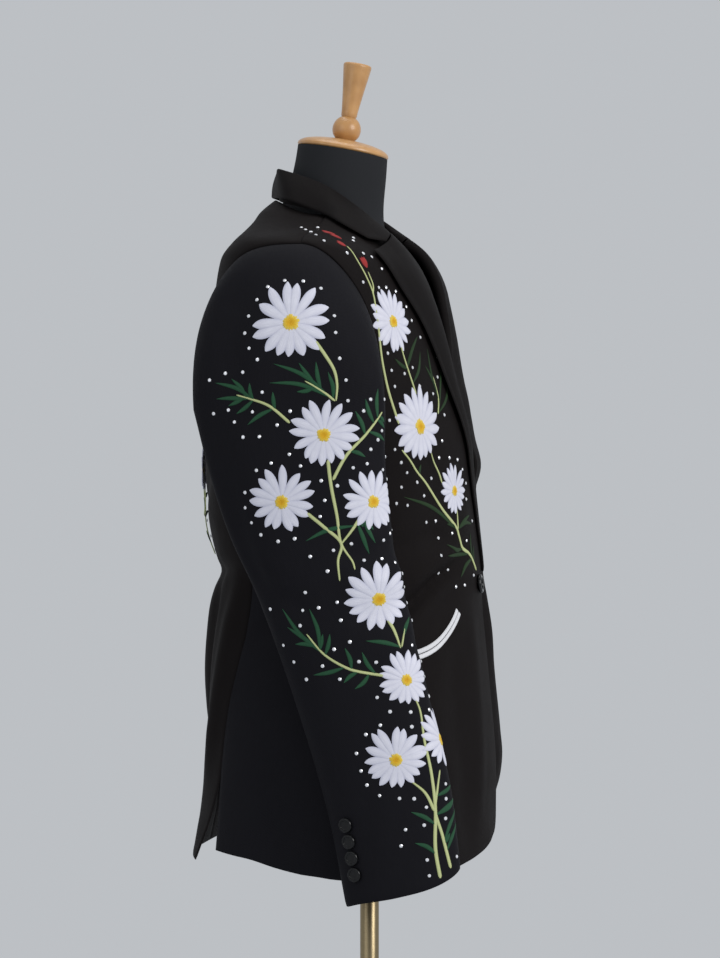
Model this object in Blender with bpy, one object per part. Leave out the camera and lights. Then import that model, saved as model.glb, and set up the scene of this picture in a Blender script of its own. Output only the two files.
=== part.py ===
"""A western suit jacket on a limbless dress form, in metres, +Z up.

The wearer faces -Y, so the wearer's right side is -X. The pole stands on the origin.
The garment's body is one surface of rings, from the hem up over the shoulders to the neck seam,
and every panel, lapel and pocket is a region of it. The sleeves are tubes of rings of their own.
"""

import math
from collections import namedtuple

import bmesh
import bpy
import numpy as np

# Cloth, as walls
CLOTH = 0.0022
SEAM_GAP = 0.0003
COLLAR_CLOTH = 0.0026
WELT_CLOTH = 0.0012

# The garment's cut, measured as a rise along its side from the floor, and as a turn in degrees round it
HEM_RISE = 0.802
NECK_RISE = 1.582
ARMHOLE_MIDDLE = 1.351
ARMHOLE_HALF_HEIGHT = 0.089
ARMHOLE_FRONT_TURN = 34.5
ARMHOLE_BACK_TURN = 45.0
SHOULDER_TURN = 90.0
HALF_GAP_TURN = 0.05
METRES_PER_TURN = 0.0030

# The single button's closing, right front over left
OVERLAP = 0.020
BREAK_RISE = 1.102
BUTTON_RISE = 1.090
RIGHT_FRONT_LIFT = 0.0046
RIGHT_PUFF_LIFT = 0.0030

# The dress form
POLE_RADIUS = 0.010
BASE_RADIUS = 0.205
BASE_THICK = 0.012
FORM_BOTTOM = 0.872
NECK_TILT = math.radians(10.0)

# One ring of the body: its front, side and back points, and how round its quarters are.
Ring = namedtuple("Ring", "rise front_y front_z side_x side_y side_z back_y back_z front_round back_round")
JACKET_RINGS = [
    Ring(0.802, -0.129, 0.792, 0.210, 0.016, 0.802, 0.175, 0.812, 0.84, 0.70),
    Ring(0.850, -0.128, 0.843, 0.208, 0.016, 0.850, 0.166, 0.857, 0.84, 0.73),
    Ring(0.920, -0.128, 0.915, 0.203, 0.016, 0.920, 0.163, 0.924, 0.84, 0.76),
    Ring(1.000, -0.121, 0.998, 0.190, 0.018, 1.000, 0.167, 1.002, 0.86, 0.78),
    Ring(1.090, -0.111, 1.089, 0.177, 0.022, 1.090, 0.162, 1.091, 0.88, 0.80),
    Ring(1.180, -0.103, 1.179, 0.188, 0.024, 1.180, 0.164, 1.181, 0.90, 0.78),
    Ring(1.262, -0.097, 1.261, 0.200, 0.026, 1.262, 0.163, 1.264, 0.90, 0.74),
    Ring(1.350, -0.080, 1.345, 0.212, 0.030, 1.352, 0.154, 1.358, 0.95, 0.70),
    Ring(1.420, -0.066, 1.392, 0.219, 0.031, 1.418, 0.139, 1.425, 1.06, 0.66),
    Ring(1.445, -0.061, 1.405, 0.213, 0.031, 1.436, 0.127, 1.442, 1.12, 0.66),
    Ring(1.480, -0.054, 1.419, 0.180, 0.031, 1.446, 0.117, 1.460, 1.16, 0.70),
    Ring(1.530, -0.042, 1.436, 0.131, 0.031, 1.457, 0.109, 1.479, 1.12, 0.78),
    Ring(1.582, -0.024, 1.452, 0.081, 0.031, 1.474, 0.096, 1.495, 1.00, 0.86),
]

# How far the form's skin lies inside the cloth's middle, and the form's own neck above the shoulders
FormInset = namedtuple("FormInset", "rise inset")
FORM_INSETS = [
    FormInset(0.850, 0.030),
    FormInset(1.000, 0.024),
    FormInset(1.090, 0.026),
    FormInset(1.180, 0.020),
    FormInset(1.262, 0.018),
    FormInset(1.350, 0.015),
    FormInset(1.420, 0.0125),
    FormInset(1.445, 0.0092),
    FormInset(1.470, 0.0050),
    FormInset(1.500, 0.0037),
    FormInset(1.582, 0.0031),
]
NeckRing = namedtuple("NeckRing", "middle_y middle_z half_depth half_width tilt")
NECK_RINGS = [
    NeckRing(0.0375, 1.474, 0.0560, 0.0660, 0.330),
    NeckRing(0.0365, 1.486, 0.0515, 0.0570, 0.300),
    NeckRing(0.0350, 1.503, 0.0495, 0.0530, 0.250),
    NeckRing(0.0310, 1.530, 0.0482, 0.0510, 0.200),
    NeckRing(0.0290, 1.548, 0.0475, 0.0500, 0.1763),
]

# Largest folds: a soft trough from one point of the right half's surface to another
Fold = namedtuple("Fold", "start end width depth")
FOLDS = [
    Fold((-0.125, 0.150, 1.108), (0.125, 0.150, 1.108), 0.026, 0.0150),
    Fold((-0.045, -0.118, 1.098), (-0.150, -0.075, 1.052), 0.010, 0.0032),
    Fold((-0.040, -0.118, 1.118), (-0.140, -0.085, 1.150), 0.012, 0.0026),
    Fold((-0.105, 0.150, 1.030), (-0.085, 0.165, 0.860), 0.014, 0.0040),
]
FOLD_STRETCH = (0.6, 0.6, 1.0)
FOLD_END_FADE = 1.3

# Seams of the body, as a turn from the front middle at each rise
SeamPoint = namedtuple("SeamPoint", "rise turn")
FRONT_SIDE_SEAM = [SeamPoint(0.802, 66.0), SeamPoint(1.090, 62.0), SeamPoint(1.302, 62.0)]
BACK_SIDE_SEAM = [
    SeamPoint(0.802, 127.0),
    SeamPoint(0.847, 130.5),
    SeamPoint(0.896, 131.2),
    SeamPoint(0.929, 129.7),
    SeamPoint(0.967, 125.8),
    SeamPoint(1.005, 120.9),
    SeamPoint(1.043, 117.0),
    SeamPoint(1.090, 114.5),
    SeamPoint(1.170, 115.5),
    SeamPoint(1.288, 122.0),
]
NECK_CURVE = 1.6
BACK_LEVEL_RISE = 1.350
VENT_TOP = 0.905
VENT_OPEN_TURN = 21.0
VENT_CURVE = 1.6

# A front's free edge: how far it lies past the middle, at each rise. The quarter is its low, rounded part.
# The right front, on top, has a short round corner, and the left one is cut away further.
EdgePoint = namedtuple("EdgePoint", "rise past_middle")
RIGHT_QUARTER = [
    EdgePoint(0.8020, -0.168),
    EdgePoint(0.8055, -0.151),
    EdgePoint(0.8105, -0.133),
    EdgePoint(0.8155, -0.112),
    EdgePoint(0.8210, -0.084),
    EdgePoint(0.8260, -0.054),
    EdgePoint(0.8310, -0.022),
    EdgePoint(0.8360, 0.003),
]
RIGHT_FRONT_EDGE = [
    EdgePoint(0.836, 0.003),
    EdgePoint(0.843, 0.014),
    EdgePoint(0.854, 0.019),
    EdgePoint(0.885, 0.018),
    EdgePoint(0.915, 0.014),
    EdgePoint(0.950, 0.010),
    EdgePoint(1.000, 0.009),
    EdgePoint(1.050, 0.013),
    EdgePoint(1.102, 0.020),
]
LEFT_QUARTER = [
    EdgePoint(0.8020, -0.152),
    EdgePoint(0.8050, -0.136),
    EdgePoint(0.8105, -0.116),
    EdgePoint(0.8190, -0.091),
    EdgePoint(0.8300, -0.062),
    EdgePoint(0.8460, -0.032),
    EdgePoint(0.8850, 0.004),
]
LEFT_FRONT_EDGE = [
    EdgePoint(0.885, 0.004),
    EdgePoint(0.930, 0.014),
    EdgePoint(0.980, 0.019),
    EdgePoint(1.040, 0.020),
    EdgePoint(1.102, 0.020),
]
# The roll line, on which both lapels turn back
ROLL_LINE = [
    EdgePoint(1.102, 0.020),
    EdgePoint(1.180, 0.004),
    EdgePoint(1.262, -0.013),
    EdgePoint(1.350, -0.028),
    EdgePoint(1.430, -0.040),
    EdgePoint(1.500, -0.048),
    EdgePoint(1.555, -0.053),
]
# A lapel's outer edge, its roll's height off the front, and how far its edge and its belly stand off
LapelRow = namedtuple("LapelRow", "rise past_middle roll_height edge_lift belly")
LAPEL_ROWS = [
    LapelRow(1.102, 0.0150, 0.0028, 0.0029, 0.0000),
    LapelRow(1.150, -0.0020, 0.0029, 0.0031, 0.0002),
    LapelRow(1.200, -0.0230, 0.0032, 0.0038, 0.0006),
    LapelRow(1.243, -0.0400, 0.0044, 0.0052, 0.0020),
    LapelRow(1.283, -0.0560, 0.0062, 0.0062, 0.0030),
    LapelRow(1.320, -0.0720, 0.0072, 0.0058, 0.0034),
    LapelRow(1.372, -0.0980, 0.0084, 0.0052, 0.0036),
    LapelRow(1.414, -0.1250, 0.0092, 0.0050, 0.0036),
    LapelRow(1.440, -0.1360, 0.0096, 0.0050, 0.0036),
    LapelRow(1.463, -0.1390, 0.0100, 0.0050, 0.0036),
]
NOTCH = EdgePoint(1.505, -0.092)
COLLAR_CORNER = EdgePoint(1.506, -0.1150)
COLLAR_EDGE_LIFT = 0.0050
# From this share of the roll line up, the lapel's cross-section bends towards the notch
NOTCH_BEND_START = 0.70
ROLL_FLATNESS = 0.85
BELLY_SPREAD = 1.15
# The left lapel and the collar's left end stand off more than the right ones
LEFT_LAPEL_LIFT = 0.0065
GORGE_GAP = 0.0016
GORGE_STEP = 0.03
COLLAR_SEAT = 0.0010
COLLAR_ROLL_RADIUS = 0.0030
COLLAR_LEVEL = 0.75

# Where a lift of a front starts and how far it takes to fade, in metres
Fade = namedtuple("Fade", "start length")
LIFT_GROWS_UP = Fade(1.050, 0.070)
LIFT_ENDS_ACROSS = Fade(0.030, 0.085)
LIFT_ENDS_UP = Fade(1.225, 0.090)
LAPEL_LIFT_GROWS_UP = Fade(1.350, 0.090)
LAPEL_LIFT_ENDS_ACROSS = Fade(0.055, 0.115)
LAPEL_LIFT_ENDS_BACK = Fade(-0.045, 0.040)
# How far the left front bulges out beside the right one's edge, at each rise
BesideRow = namedtuple("BesideRow", "rise stands_off")
LEFT_BESIDE = [
    BesideRow(0.802, -0.0040),
    BesideRow(0.840, -0.0035),
    BesideRow(0.860, -0.0010),
    BesideRow(0.881, 0.0036),
    BesideRow(0.905, 0.0073),
    BesideRow(0.930, 0.0076),
    BesideRow(1.000, 0.0062),
    BesideRow(1.043, 0.0085),
    BesideRow(1.090, 0.0083),
    BesideRow(1.134, 0.0070),
    BesideRow(1.220, 0.0040),
    BesideRow(1.300, 0.0000),
]
BESIDE_GROWS_ACROSS = Fade(0.022, 0.025)
BESIDE_ENDS_ACROSS = Fade(0.060, 0.090)

# How many lengths of a mesh lie along each seam, shared by the pieces on both sides of it
SIDE_SEAM_STEPS = 18
FRONT_SCYE_STEPS = 8
SIDE_SCYE_STEPS = 5
BACK_SCYE_STEPS = 9
BACK_NECK_STEPS = 5
SLEEVE_BACK_STEPS = 3
FRONT_COLUMNS = 14
# Points on the curves that a front's border is measured from
EDGE_POINTS = 40
ROLL_LINE_POINTS = 30
NECK_POINTS = 14
HEM_POINTS = 20
BACK_COLUMNS = 10
HEAD_ROWS = 7
ARM_ROWS = 12

# Points across a lapel and across the collar
LAPEL_COUNT = 17
LAPEL_ROLL_POINTS = 5
LAPEL_OUT_POINTS = 6
LAPEL_NOTCH_POINT = 4
COLLAR_STAND_POINTS = 3
COLLAR_ROUND_POINTS = 5
COLLAR_LEAF_POINTS = 5
COLLAR_NOTCH_POINT = 3
COLLAR_HALF_ROWS = 11

# The collar: where its fold lies at each station round the neck, and where its leaf ends
CollarStation = namedtuple(
    "CollarStation", "seam_turn fold_x fold_y fold_z edge_turn edge_rise edge_lift bulge"
)
COLLAR_STATIONS = [
    CollarStation(180.0, 0.0000, 0.0965, 1.5290, 180.0, 1.577, 0.0080, 0.0015),
    CollarStation(135.0, -0.0440, 0.0860, 1.5240, 130.0, 1.577, 0.0085, 0.0015),
    CollarStation(90.0, -0.0640, 0.0380, 1.5060, 92.0, 1.571, 0.0050, 0.0015),
    CollarStation(60.0, -0.0630, 0.0040, 1.4830, 70.0, 1.537, 0.0050, 0.0030),
]

# The right sleeve's rings, from the biceps to the cuff
SleeveRing = namedtuple("SleeveRing", "outer_x outer_z inner_x inner_z middle_y half_width slope")
SLEEVE_RINGS = [
    SleeveRing(-0.2820, 1.3000, -0.2145, 1.2300, 0.035, 0.0930, 0.00),
    SleeveRing(-0.2825, 1.2300, -0.2140, 1.2000, 0.030, 0.0880, 0.00),
    SleeveRing(-0.2810, 1.1500, -0.2130, 1.1400, 0.015, 0.0800, 0.02),
    SleeveRing(-0.2790, 1.0800, -0.2125, 1.0780, -0.008, 0.0710, 0.05),
    SleeveRing(-0.2780, 0.9850, -0.2130, 0.9850, -0.036, 0.0635, 0.12),
    SleeveRing(-0.2780, 0.8900, -0.2160, 0.8900, -0.0625, 0.0590, 0.25),
    SleeveRing(-0.2770, 0.8030, -0.2170, 0.8030, -0.077, 0.0550, 0.36),
]
# How far the curves of the sleeve head run straight out of the armhole, and straight down at the biceps
HEAD_REACH = 1.05
HEAD_DROP = 0.95
HEAD_SPREAD = 0.30
HEAD_FALL = -0.22
SLEEVE_ROUND = 0.90
SLEEVE_START_INSET = 0.0016
SLEEVE_SEAM_GAP = 0.00024
# The left sleeve hangs further back: how far at the cuff, and where the swing starts
LEFT_SLEEVE_SWING = 0.042
SWING_TOP = 1.33
SWING_HEIGHT = 0.53

# Pockets, buttons and their places
POCKET_MIDDLE_TURN = 60.0
POCKET_LOW_RISE = 1.021
POCKET_RADIUS = 0.126
POCKET_FRONT_ANGLE = 49.0
POCKET_BACK_ANGLE = 22.0
WELT_WIDTH = 0.0046
WELT_SLIT = 0.0007
WELT_DOME = 0.0003
WELT_POINTS = 11
FRONT_BUTTON_RADIUS = 0.0100
FRONT_BUTTON_THICK = 0.0040
BUTTON_SEAT = 0.0005
CUFF_BUTTON_RADIUS = 0.0074
CUFF_BUTTON_THICK = 0.0032
CUFF_BUTTON_SEAT = 0.0002
CUFF_BUTTON_COUNT = 4
CUFF_BUTTON_PITCH = 0.0161
CUFF_BUTTON_LOWEST = 0.027
CUFF_BUTTON_ANGLE = -41.0

# The form's rings, and the outlines of what is turned, as a radius and a height
FORM_STEPS = 32
FORM_RISES = [0.874, 0.94, 1.02, 1.09, 1.16, 1.23, 1.30, 1.36]
FORM_RISES += [1.40, 1.42, 1.435, 1.447, 1.462, 1.49, 1.53, 1.575]
FORM_BOTTOM_EDGE = 0.006
FORM_BOTTOM_SHARE = 0.96
FORM_MIDDLE_Y = 0.016
Outline = namedtuple("Outline", "radius height")
CAP_HEIGHT = 0.0128
CAP_OUTLINE = [
    Outline(0.0, 0.0),
    Outline(0.0475, 0.0),
    Outline(0.0490, 0.0015),
    Outline(0.0485, 0.0040),
    Outline(0.0440, 0.0075),
    Outline(0.0340, 0.0105),
    Outline(0.0200, 0.0124),
    Outline(0.0, CAP_HEIGHT),
]
FINIAL_FOOT_RADIUS = 0.0098
FINIAL_BALL_RADIUS = 0.0152
FINIAL_BALL_HEIGHT = 0.0116
FINIAL_NECK_OUTLINE = [
    Outline(0.0084, 0.0262),
    Outline(0.0088, 0.0320),
    Outline(0.0118, 0.0560),
    Outline(0.0150, 0.0790),
    Outline(0.0146, 0.0812),
    Outline(0.0120, 0.0822),
    Outline(0.0, 0.0826),
]
SOCKET_HEIGHT = 0.050
BASE_OUTLINE = [
    Outline(0.0, 0.0),
    Outline(BASE_RADIUS, 0.0),
    Outline(BASE_RADIUS, BASE_THICK * 0.5),
    Outline(BASE_RADIUS - 0.004, BASE_THICK * 0.85),
    Outline(BASE_RADIUS - 0.012, BASE_THICK),
    Outline(0.026, BASE_THICK + 0.003),
    Outline(0.021, BASE_THICK + 0.006),
    Outline(0.018, SOCKET_HEIGHT - 0.005),
    Outline(0.015, SOCKET_HEIGHT),
    Outline(0.0, SOCKET_HEIGHT),
]
# A button's outline: shares of its radius and of its thickness
BUTTON_OUTLINE = [
    Outline(0.0, 0.0),
    Outline(0.86, 0.0),
    Outline(1.0, 0.40),
    Outline(0.90, 1.0),
    Outline(0.70, 1.0),
    Outline(0.58, 0.70),
    Outline(0.0, 0.70),
]


def clear_scene():
    for obj in list(bpy.data.objects):
        bpy.data.objects.remove(obj)


def material(name, colour, roughness, metallic=0.0):
    made = bpy.data.materials.new(name)
    made.use_nodes = True
    shader = made.node_tree.nodes["Principled BSDF"]
    shader.inputs["Base Color"].default_value = (*colour, 1.0)
    shader.inputs["Roughness"].default_value = roughness
    shader.inputs["Metallic"].default_value = metallic
    return made


def smooth_rows(rows, at):
    """Columns of the rows at these values of the first column, on a smooth curve through the rows."""
    table = np.array(rows, float)
    knots, values = table[:, 0], table[:, 1:]
    slopes = np.empty_like(values)
    slopes[1:-1] = (values[2:] - values[:-2]) / (knots[2:] - knots[:-2])[:, None]
    slopes[0] = (values[1] - values[0]) / (knots[1] - knots[0])
    slopes[-1] = (values[-1] - values[-2]) / (knots[-1] - knots[-2])
    at = np.clip(np.asarray(at, float), knots[0], knots[-1])
    i = np.clip(np.searchsorted(knots, at, side="right") - 1, 0, len(knots) - 2)
    step = knots[i + 1] - knots[i]
    t = ((at - knots[i]) / step)[..., None]
    step = step[..., None]
    return (
        (2 * t**3 - 3 * t**2 + 1) * values[i]
        + (t**3 - 2 * t**2 + t) * step * slopes[i]
        + (3 * t**2 - 2 * t**3) * values[i + 1]
        + (t**3 - t**2) * step * slopes[i + 1]
    )


def unit(vectors):
    length = np.linalg.norm(vectors, axis=-1, keepdims=True)
    return vectors / np.maximum(length, 1e-12)


def body_base(turn, rise):
    """The body's surface without folds. A positive turn goes from the front middle to the wearer's right."""
    turn, rise = np.broadcast_arrays(np.asarray(turn, float), np.asarray(rise, float))
    row = smooth_rows(JACKET_RINGS, rise)
    front_y, front_z, side_x, side_y, side_z = np.moveaxis(row[..., :5], -1, 0)
    back_y, back_z, front_round, back_round = np.moveaxis(row[..., 5:], -1, 0)
    sine, cosine = np.sin(np.radians(turn)), np.cos(np.radians(turn))
    ahead = cosine >= 0
    roundness = np.where(ahead, front_round, back_round)
    across = np.sign(sine) * np.abs(sine) ** roundness
    along = np.abs(cosine) ** roundness
    x = -side_x * across
    y = side_y + (np.where(ahead, front_y, back_y) - side_y) * along
    z = side_z + (np.where(ahead, front_z, back_z) - side_z) * cosine**2
    return np.stack([x, y, z], axis=-1)


def body_normal(turn, rise):
    """The body's outward direction, from small steps round and up."""
    turn, rise = np.asarray(turn, float), np.asarray(rise, float)
    round_step, rise_step = 0.4, 0.002
    around = body_base(turn + round_step, rise) - body_base(turn - round_step, rise)
    low = np.clip(rise - rise_step, HEM_RISE, NECK_RISE - rise_step)
    up = body_base(turn, low + rise_step) - body_base(turn, low)
    return unit(np.cross(up, around))


def smooth_step(value):
    value = np.clip(value, 0.0, 1.0)
    return value * value * (3 - 2 * value)


def fold_depth(points):
    """How far the folds draw these points of the body inwards."""
    depth = np.zeros(points.shape[:-1])
    for fold in FOLDS:
        start, end = np.array(fold.start), np.array(fold.end)
        length = np.linalg.norm(end - start)
        share = ((points - start) @ (end - start)) / length**2
        nearest = start + np.clip(share, 0, 1)[..., None] * (end - start)
        away = np.linalg.norm((points - nearest) * np.array(FOLD_STRETCH), axis=-1)
        ends = smooth_step(1.0 - np.abs(np.clip(share, 0, 1) - 0.5) * FOLD_END_FADE)
        depth += fold.depth * ends * np.exp(-((away / fold.width) ** 2))
    return depth


def body_point(turn, rise, lift=0.0):
    base = body_base(turn, rise)
    out = np.asarray(lift) - fold_depth(base)
    return base + body_normal(turn, rise) * out[..., None]


def turn_at(rise, past_middle):
    """The turn at which the front of the ring is this far past the middle, towards the wearer's left."""
    row = smooth_rows(JACKET_RINGS, rise)
    side_x, roundness = row[..., 2], row[..., 7]
    share = np.clip(np.abs(past_middle) / side_x, 0, 1)
    return -np.sign(past_middle) * np.degrees(np.arcsin(share ** (1 / roundness)))


def edge_curve(points):
    """(turn, rise) pairs of a list of edge points."""
    return np.array([(float(turn_at(p.rise, p.past_middle)), p.rise) for p in points])


def armhole(angle):
    """(turn, rise) of the armhole. Angle 0 is the shoulder point, 90 the front, 180 the underarm."""
    angle = np.radians(np.asarray(angle, float))
    sine = np.sin(angle)
    turn = SHOULDER_TURN - np.where(sine >= 0, ARMHOLE_FRONT_TURN, ARMHOLE_BACK_TURN) * sine
    rise = ARMHOLE_MIDDLE + ARMHOLE_HALF_HEIGHT * np.cos(angle)
    return np.stack([turn, rise], axis=-1)


def armhole_angle_at_turn(turn):
    """The lower place where the armhole crosses a seam that runs up at this turn."""
    if turn < SHOULDER_TURN:
        return 180.0 - math.degrees(math.asin((SHOULDER_TURN - turn) / ARMHOLE_FRONT_TURN))
    return 180.0 + math.degrees(math.asin((turn - SHOULDER_TURN) / ARMHOLE_BACK_TURN))


def resample(curve, count):
    """The curve's points, spread evenly by length in a flat picture of turn and rise."""
    curve = np.asarray(curve, float)
    flat = curve * np.array([METRES_PER_TURN, 1.0])
    along = np.concatenate([[0], np.cumsum(np.linalg.norm(np.diff(flat, axis=0), axis=1))])
    at = np.linspace(0, along[-1], count)
    return np.stack([np.interp(at, along, curve[:, k]) for k in range(curve.shape[1])], axis=-1)


def smooth_curve(points, count):
    """A smooth curve through points whose second column rises, sampled count times."""
    points = np.asarray(points, float)
    rises = np.linspace(points[0, 1], points[-1, 1], count)
    turns = smooth_rows(points[:, ::-1], rises)[:, 0]
    return np.stack([turns, rises], axis=-1)


def patch(bottom, top, left, right):
    """A grid of (turn, rise) that fills four border curves. Bottom and top run from left to right."""
    u = np.linspace(0, 1, len(bottom))[None, :, None]
    v = np.linspace(0, 1, len(left))[:, None, None]
    ruled = (1 - v) * bottom[None] + v * top[None] + (1 - u) * left[:, None] + u * right[:, None]
    low_corners = (1 - u) * bottom[0] + u * bottom[-1]
    high_corners = (1 - u) * top[0] + u * top[-1]
    corners = (1 - v) * low_corners + v * high_corners
    return ruled - corners


def grid_normals(grid):
    rows = np.gradient(grid, axis=0)
    columns = np.gradient(grid, axis=1)
    return unit(np.cross(rows, columns))


def solid_from_mesh(name, points, faces, finish, smooth_angle=40.0):
    mesh = bpy.data.meshes.new(name)
    mesh.from_pydata([tuple(p) for p in points], [], faces)
    work = bmesh.new()
    work.from_mesh(mesh)
    bmesh.ops.recalc_face_normals(work, faces=work.faces[:])
    work.to_mesh(mesh)
    work.free()
    mesh.shade_smooth()
    mesh.set_sharp_from_angle(angle=math.radians(smooth_angle))
    mesh.materials.append(finish)
    obj = bpy.data.objects.new(name, mesh)
    bpy.context.scene.collection.objects.link(obj)
    return obj


def wall(name, grid, thick, finish, normals=None):
    """A closed wall of cloth round a grid of points on its middle."""
    normals = grid_normals(grid) if normals is None else normals
    rows, columns = grid.shape[:2]
    outer, inner = grid + normals * thick / 2, grid - normals * thick / 2
    points = np.concatenate([outer.reshape(-1, 3), inner.reshape(-1, 3)])
    half = rows * columns

    def at(i, j, side):
        return side * half + i * columns + j

    faces = []
    for i in range(rows - 1):
        for j in range(columns - 1):
            faces.append((at(i, j, 0), at(i, j + 1, 0), at(i + 1, j + 1, 0), at(i + 1, j, 0)))
            faces.append((at(i, j, 1), at(i + 1, j, 1), at(i + 1, j + 1, 1), at(i, j + 1, 1)))
    rim = [(0, j) for j in range(columns)]
    rim += [(i, columns - 1) for i in range(1, rows)]
    rim += [(rows - 1, j) for j in range(columns - 2, -1, -1)]
    rim += [(i, 0) for i in range(rows - 2, 0, -1)]
    for (a, b), (c, d) in zip(rim, rim[1:] + rim[:1]):
        faces.append((at(a, b, 0), at(a, b, 1), at(c, d, 1), at(c, d, 0)))
    return solid_from_mesh(name, points, faces, finish)


def mirrored(grid):
    return grid * np.array([-1.0, 1.0, 1.0])


def side_seam(seam, gap_side):
    """(turn, rise) up a seam of the body from the hem to the armhole, half a gap to one side of it."""
    top = armhole_angle_at_turn(seam[-1].turn)
    rises = np.linspace(HEM_RISE, float(armhole(top)[1]), SIDE_SEAM_STEPS + 1)
    turns = smooth_rows(seam, rises)[:, 0]
    return np.stack([turns + gap_side * HALF_GAP_TURN, rises], axis=-1)


def scye_angles():
    """The armhole's angles at the points of its front, underarm and back parts."""
    front_meet = armhole_angle_at_turn(FRONT_SIDE_SEAM[-1].turn)
    back_meet = armhole_angle_at_turn(BACK_SIDE_SEAM[-1].turn)
    front = np.linspace(0.0, front_meet, FRONT_SCYE_STEPS + 1)
    under = np.linspace(front_meet, back_meet, SIDE_SCYE_STEPS + 1)
    back = np.linspace(back_meet, 360.0, BACK_SCYE_STEPS + 1)
    return front, under, back


def middle_turn(metres):
    """The turn at which the back of the waist's ring lies this far from the middle seam."""
    waist = JACKET_RINGS[4]
    return 180.0 - math.degrees(math.asin((metres / waist.side_x) ** (1 / waist.back_round)))


def front_panel_grid(quarter_points, edge_points):
    """(turn, rise) of a front: quarter and hem, side seam and armhole, shoulder seam, front edge and roll."""
    rows = SIDE_SEAM_STEPS + FRONT_SCYE_STEPS + 1
    scye = armhole(scye_angles()[0][::-1])
    right = np.concatenate([side_seam(FRONT_SIDE_SEAM, -1), scye[1:] - np.array([HALF_GAP_TURN, 0])])
    edge = smooth_curve(edge_curve(edge_points), EDGE_POINTS)
    roll = smooth_curve(edge_curve(ROLL_LINE), ROLL_LINE_POINTS)
    neck_end = np.array([right[-1, 0], NECK_RISE])
    share = np.linspace(0, 1, NECK_POINTS)[:, None]
    neck_way = np.concatenate([share, smooth_step(share * NECK_CURVE)], axis=1)
    neck = roll[-1] + (neck_end - roll[-1]) * neck_way
    left = resample(np.concatenate([edge, roll[1:], neck[1:]]), rows)
    quarter = edge_curve(quarter_points)
    hem = np.linspace(quarter[0], right[0], HEM_POINTS)
    bottom = resample(np.concatenate([quarter[::-1], hem[1:]]), FRONT_COLUMNS)
    top = np.linspace(neck_end, right[-1], FRONT_COLUMNS)
    return patch(bottom, top, left, right)


def side_panel_grid():
    """(turn, rise) of the side panel, whose back edge is the vent's edge below VENT_TOP."""
    left = side_seam(FRONT_SIDE_SEAM, 1)
    right = side_seam(BACK_SIDE_SEAM, -1)
    top = armhole(scye_angles()[1])
    top[0], top[-1] = left[-1], right[-1]
    bottom = np.linspace(left[0], right[0], SIDE_SCYE_STEPS + 1)
    return patch(bottom, top, left, right)


def back_panel_grid():
    """(turn, rise) of half of the back, from its side edge to the middle seam and the neck."""
    side = side_seam(BACK_SIDE_SEAM, 1)
    below_vent = np.clip((VENT_TOP - side[:, 1]) / (VENT_TOP - HEM_RISE), 0, 1)
    side[:, 0] += VENT_OPEN_TURN * below_vent**VENT_CURVE
    scye = armhole(scye_angles()[2])
    scye[-1, 0] += HALF_GAP_TURN
    left = np.concatenate([side, scye[1:]])
    middle = middle_turn(SEAM_GAP / 2)
    corner = (SHOULDER_TURN + HALF_GAP_TURN, NECK_RISE)
    low = np.linspace((middle, HEM_RISE), (middle, BACK_LEVEL_RISE), SIDE_SEAM_STEPS + 1)
    high = np.linspace(low[-1], (middle, NECK_RISE), BACK_SCYE_STEPS - BACK_NECK_STEPS + 1)
    neck = np.linspace(high[-1], corner, BACK_NECK_STEPS + 1)
    right = np.concatenate([low, high[1:], neck[1:]])
    bottom = np.linspace(left[0], right[0], BACK_COLUMNS)
    top = np.linspace(left[-1], corner, BACK_COLUMNS)
    return patch(bottom, top, left, right)


def growing(values, fade):
    """0 before the fade's start, 1 past its length, and smooth between them."""
    return smooth_step((values - fade.start) / fade.length)


def right_front_lift(points):
    """How far the right front stands out over the left one."""
    across, height = -points[..., 0], points[..., 2]
    over_left = RIGHT_FRONT_LIFT + RIGHT_PUFF_LIFT * growing(height, LIFT_GROWS_UP)
    over_left = over_left * (1.0 - growing(across, LIFT_ENDS_ACROSS))
    return over_left * (1.0 - growing(height, LIFT_ENDS_UP))


def left_front_lift(points):
    """How far the left front stands out beside the right one's edge, at points of the right side that mirror it."""
    across, behind, height = -points[..., 0], points[..., 1], points[..., 2]
    beside = smooth_rows(LEFT_BESIDE, height)[..., 0] * growing(across, BESIDE_GROWS_ACROSS)
    beside = beside * (1.0 - growing(across, BESIDE_ENDS_ACROSS))
    high = growing(height, LAPEL_LIFT_GROWS_UP) * (1.0 - growing(across, LAPEL_LIFT_ENDS_ACROSS))
    off_shoulder = 1.0 - growing(behind, LAPEL_LIFT_ENDS_BACK)
    return beside + LEFT_LAPEL_LIFT * high * off_shoulder


def front_walls(quarter_points, edge_points, lift_at):
    """The points and normals of a front, both as if on the wearer's right."""
    grid = front_panel_grid(quarter_points, edge_points)
    turn, rise = grid[..., 0], grid[..., 1]
    return body_point(turn, rise, lift_at(body_base(turn, rise))), body_normal(turn, rise)


def build_fronts(finish):
    points, normals = front_walls(RIGHT_QUARTER, RIGHT_FRONT_EDGE, right_front_lift)
    wall("front_right", points, CLOTH, finish, normals)
    points, normals = front_walls(LEFT_QUARTER, LEFT_FRONT_EDGE, left_front_lift)
    wall("front_left", mirrored(points), CLOTH, finish, mirrored(normals))


def build_sides_and_backs(finish):
    for piece, grid in (("side_panel", side_panel_grid()), ("back", back_panel_grid())):
        points = body_point(grid[..., 0], grid[..., 1])
        normals = body_normal(grid[..., 0], grid[..., 1])
        wall(f"{piece}_right", points, CLOTH, finish, normals)
        wall(f"{piece}_left", mirrored(points), CLOTH, finish, mirrored(normals))


def notch_bend(up):
    return smooth_step((up - NOTCH_BEND_START) / (1.0 - NOTCH_BEND_START))


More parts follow.
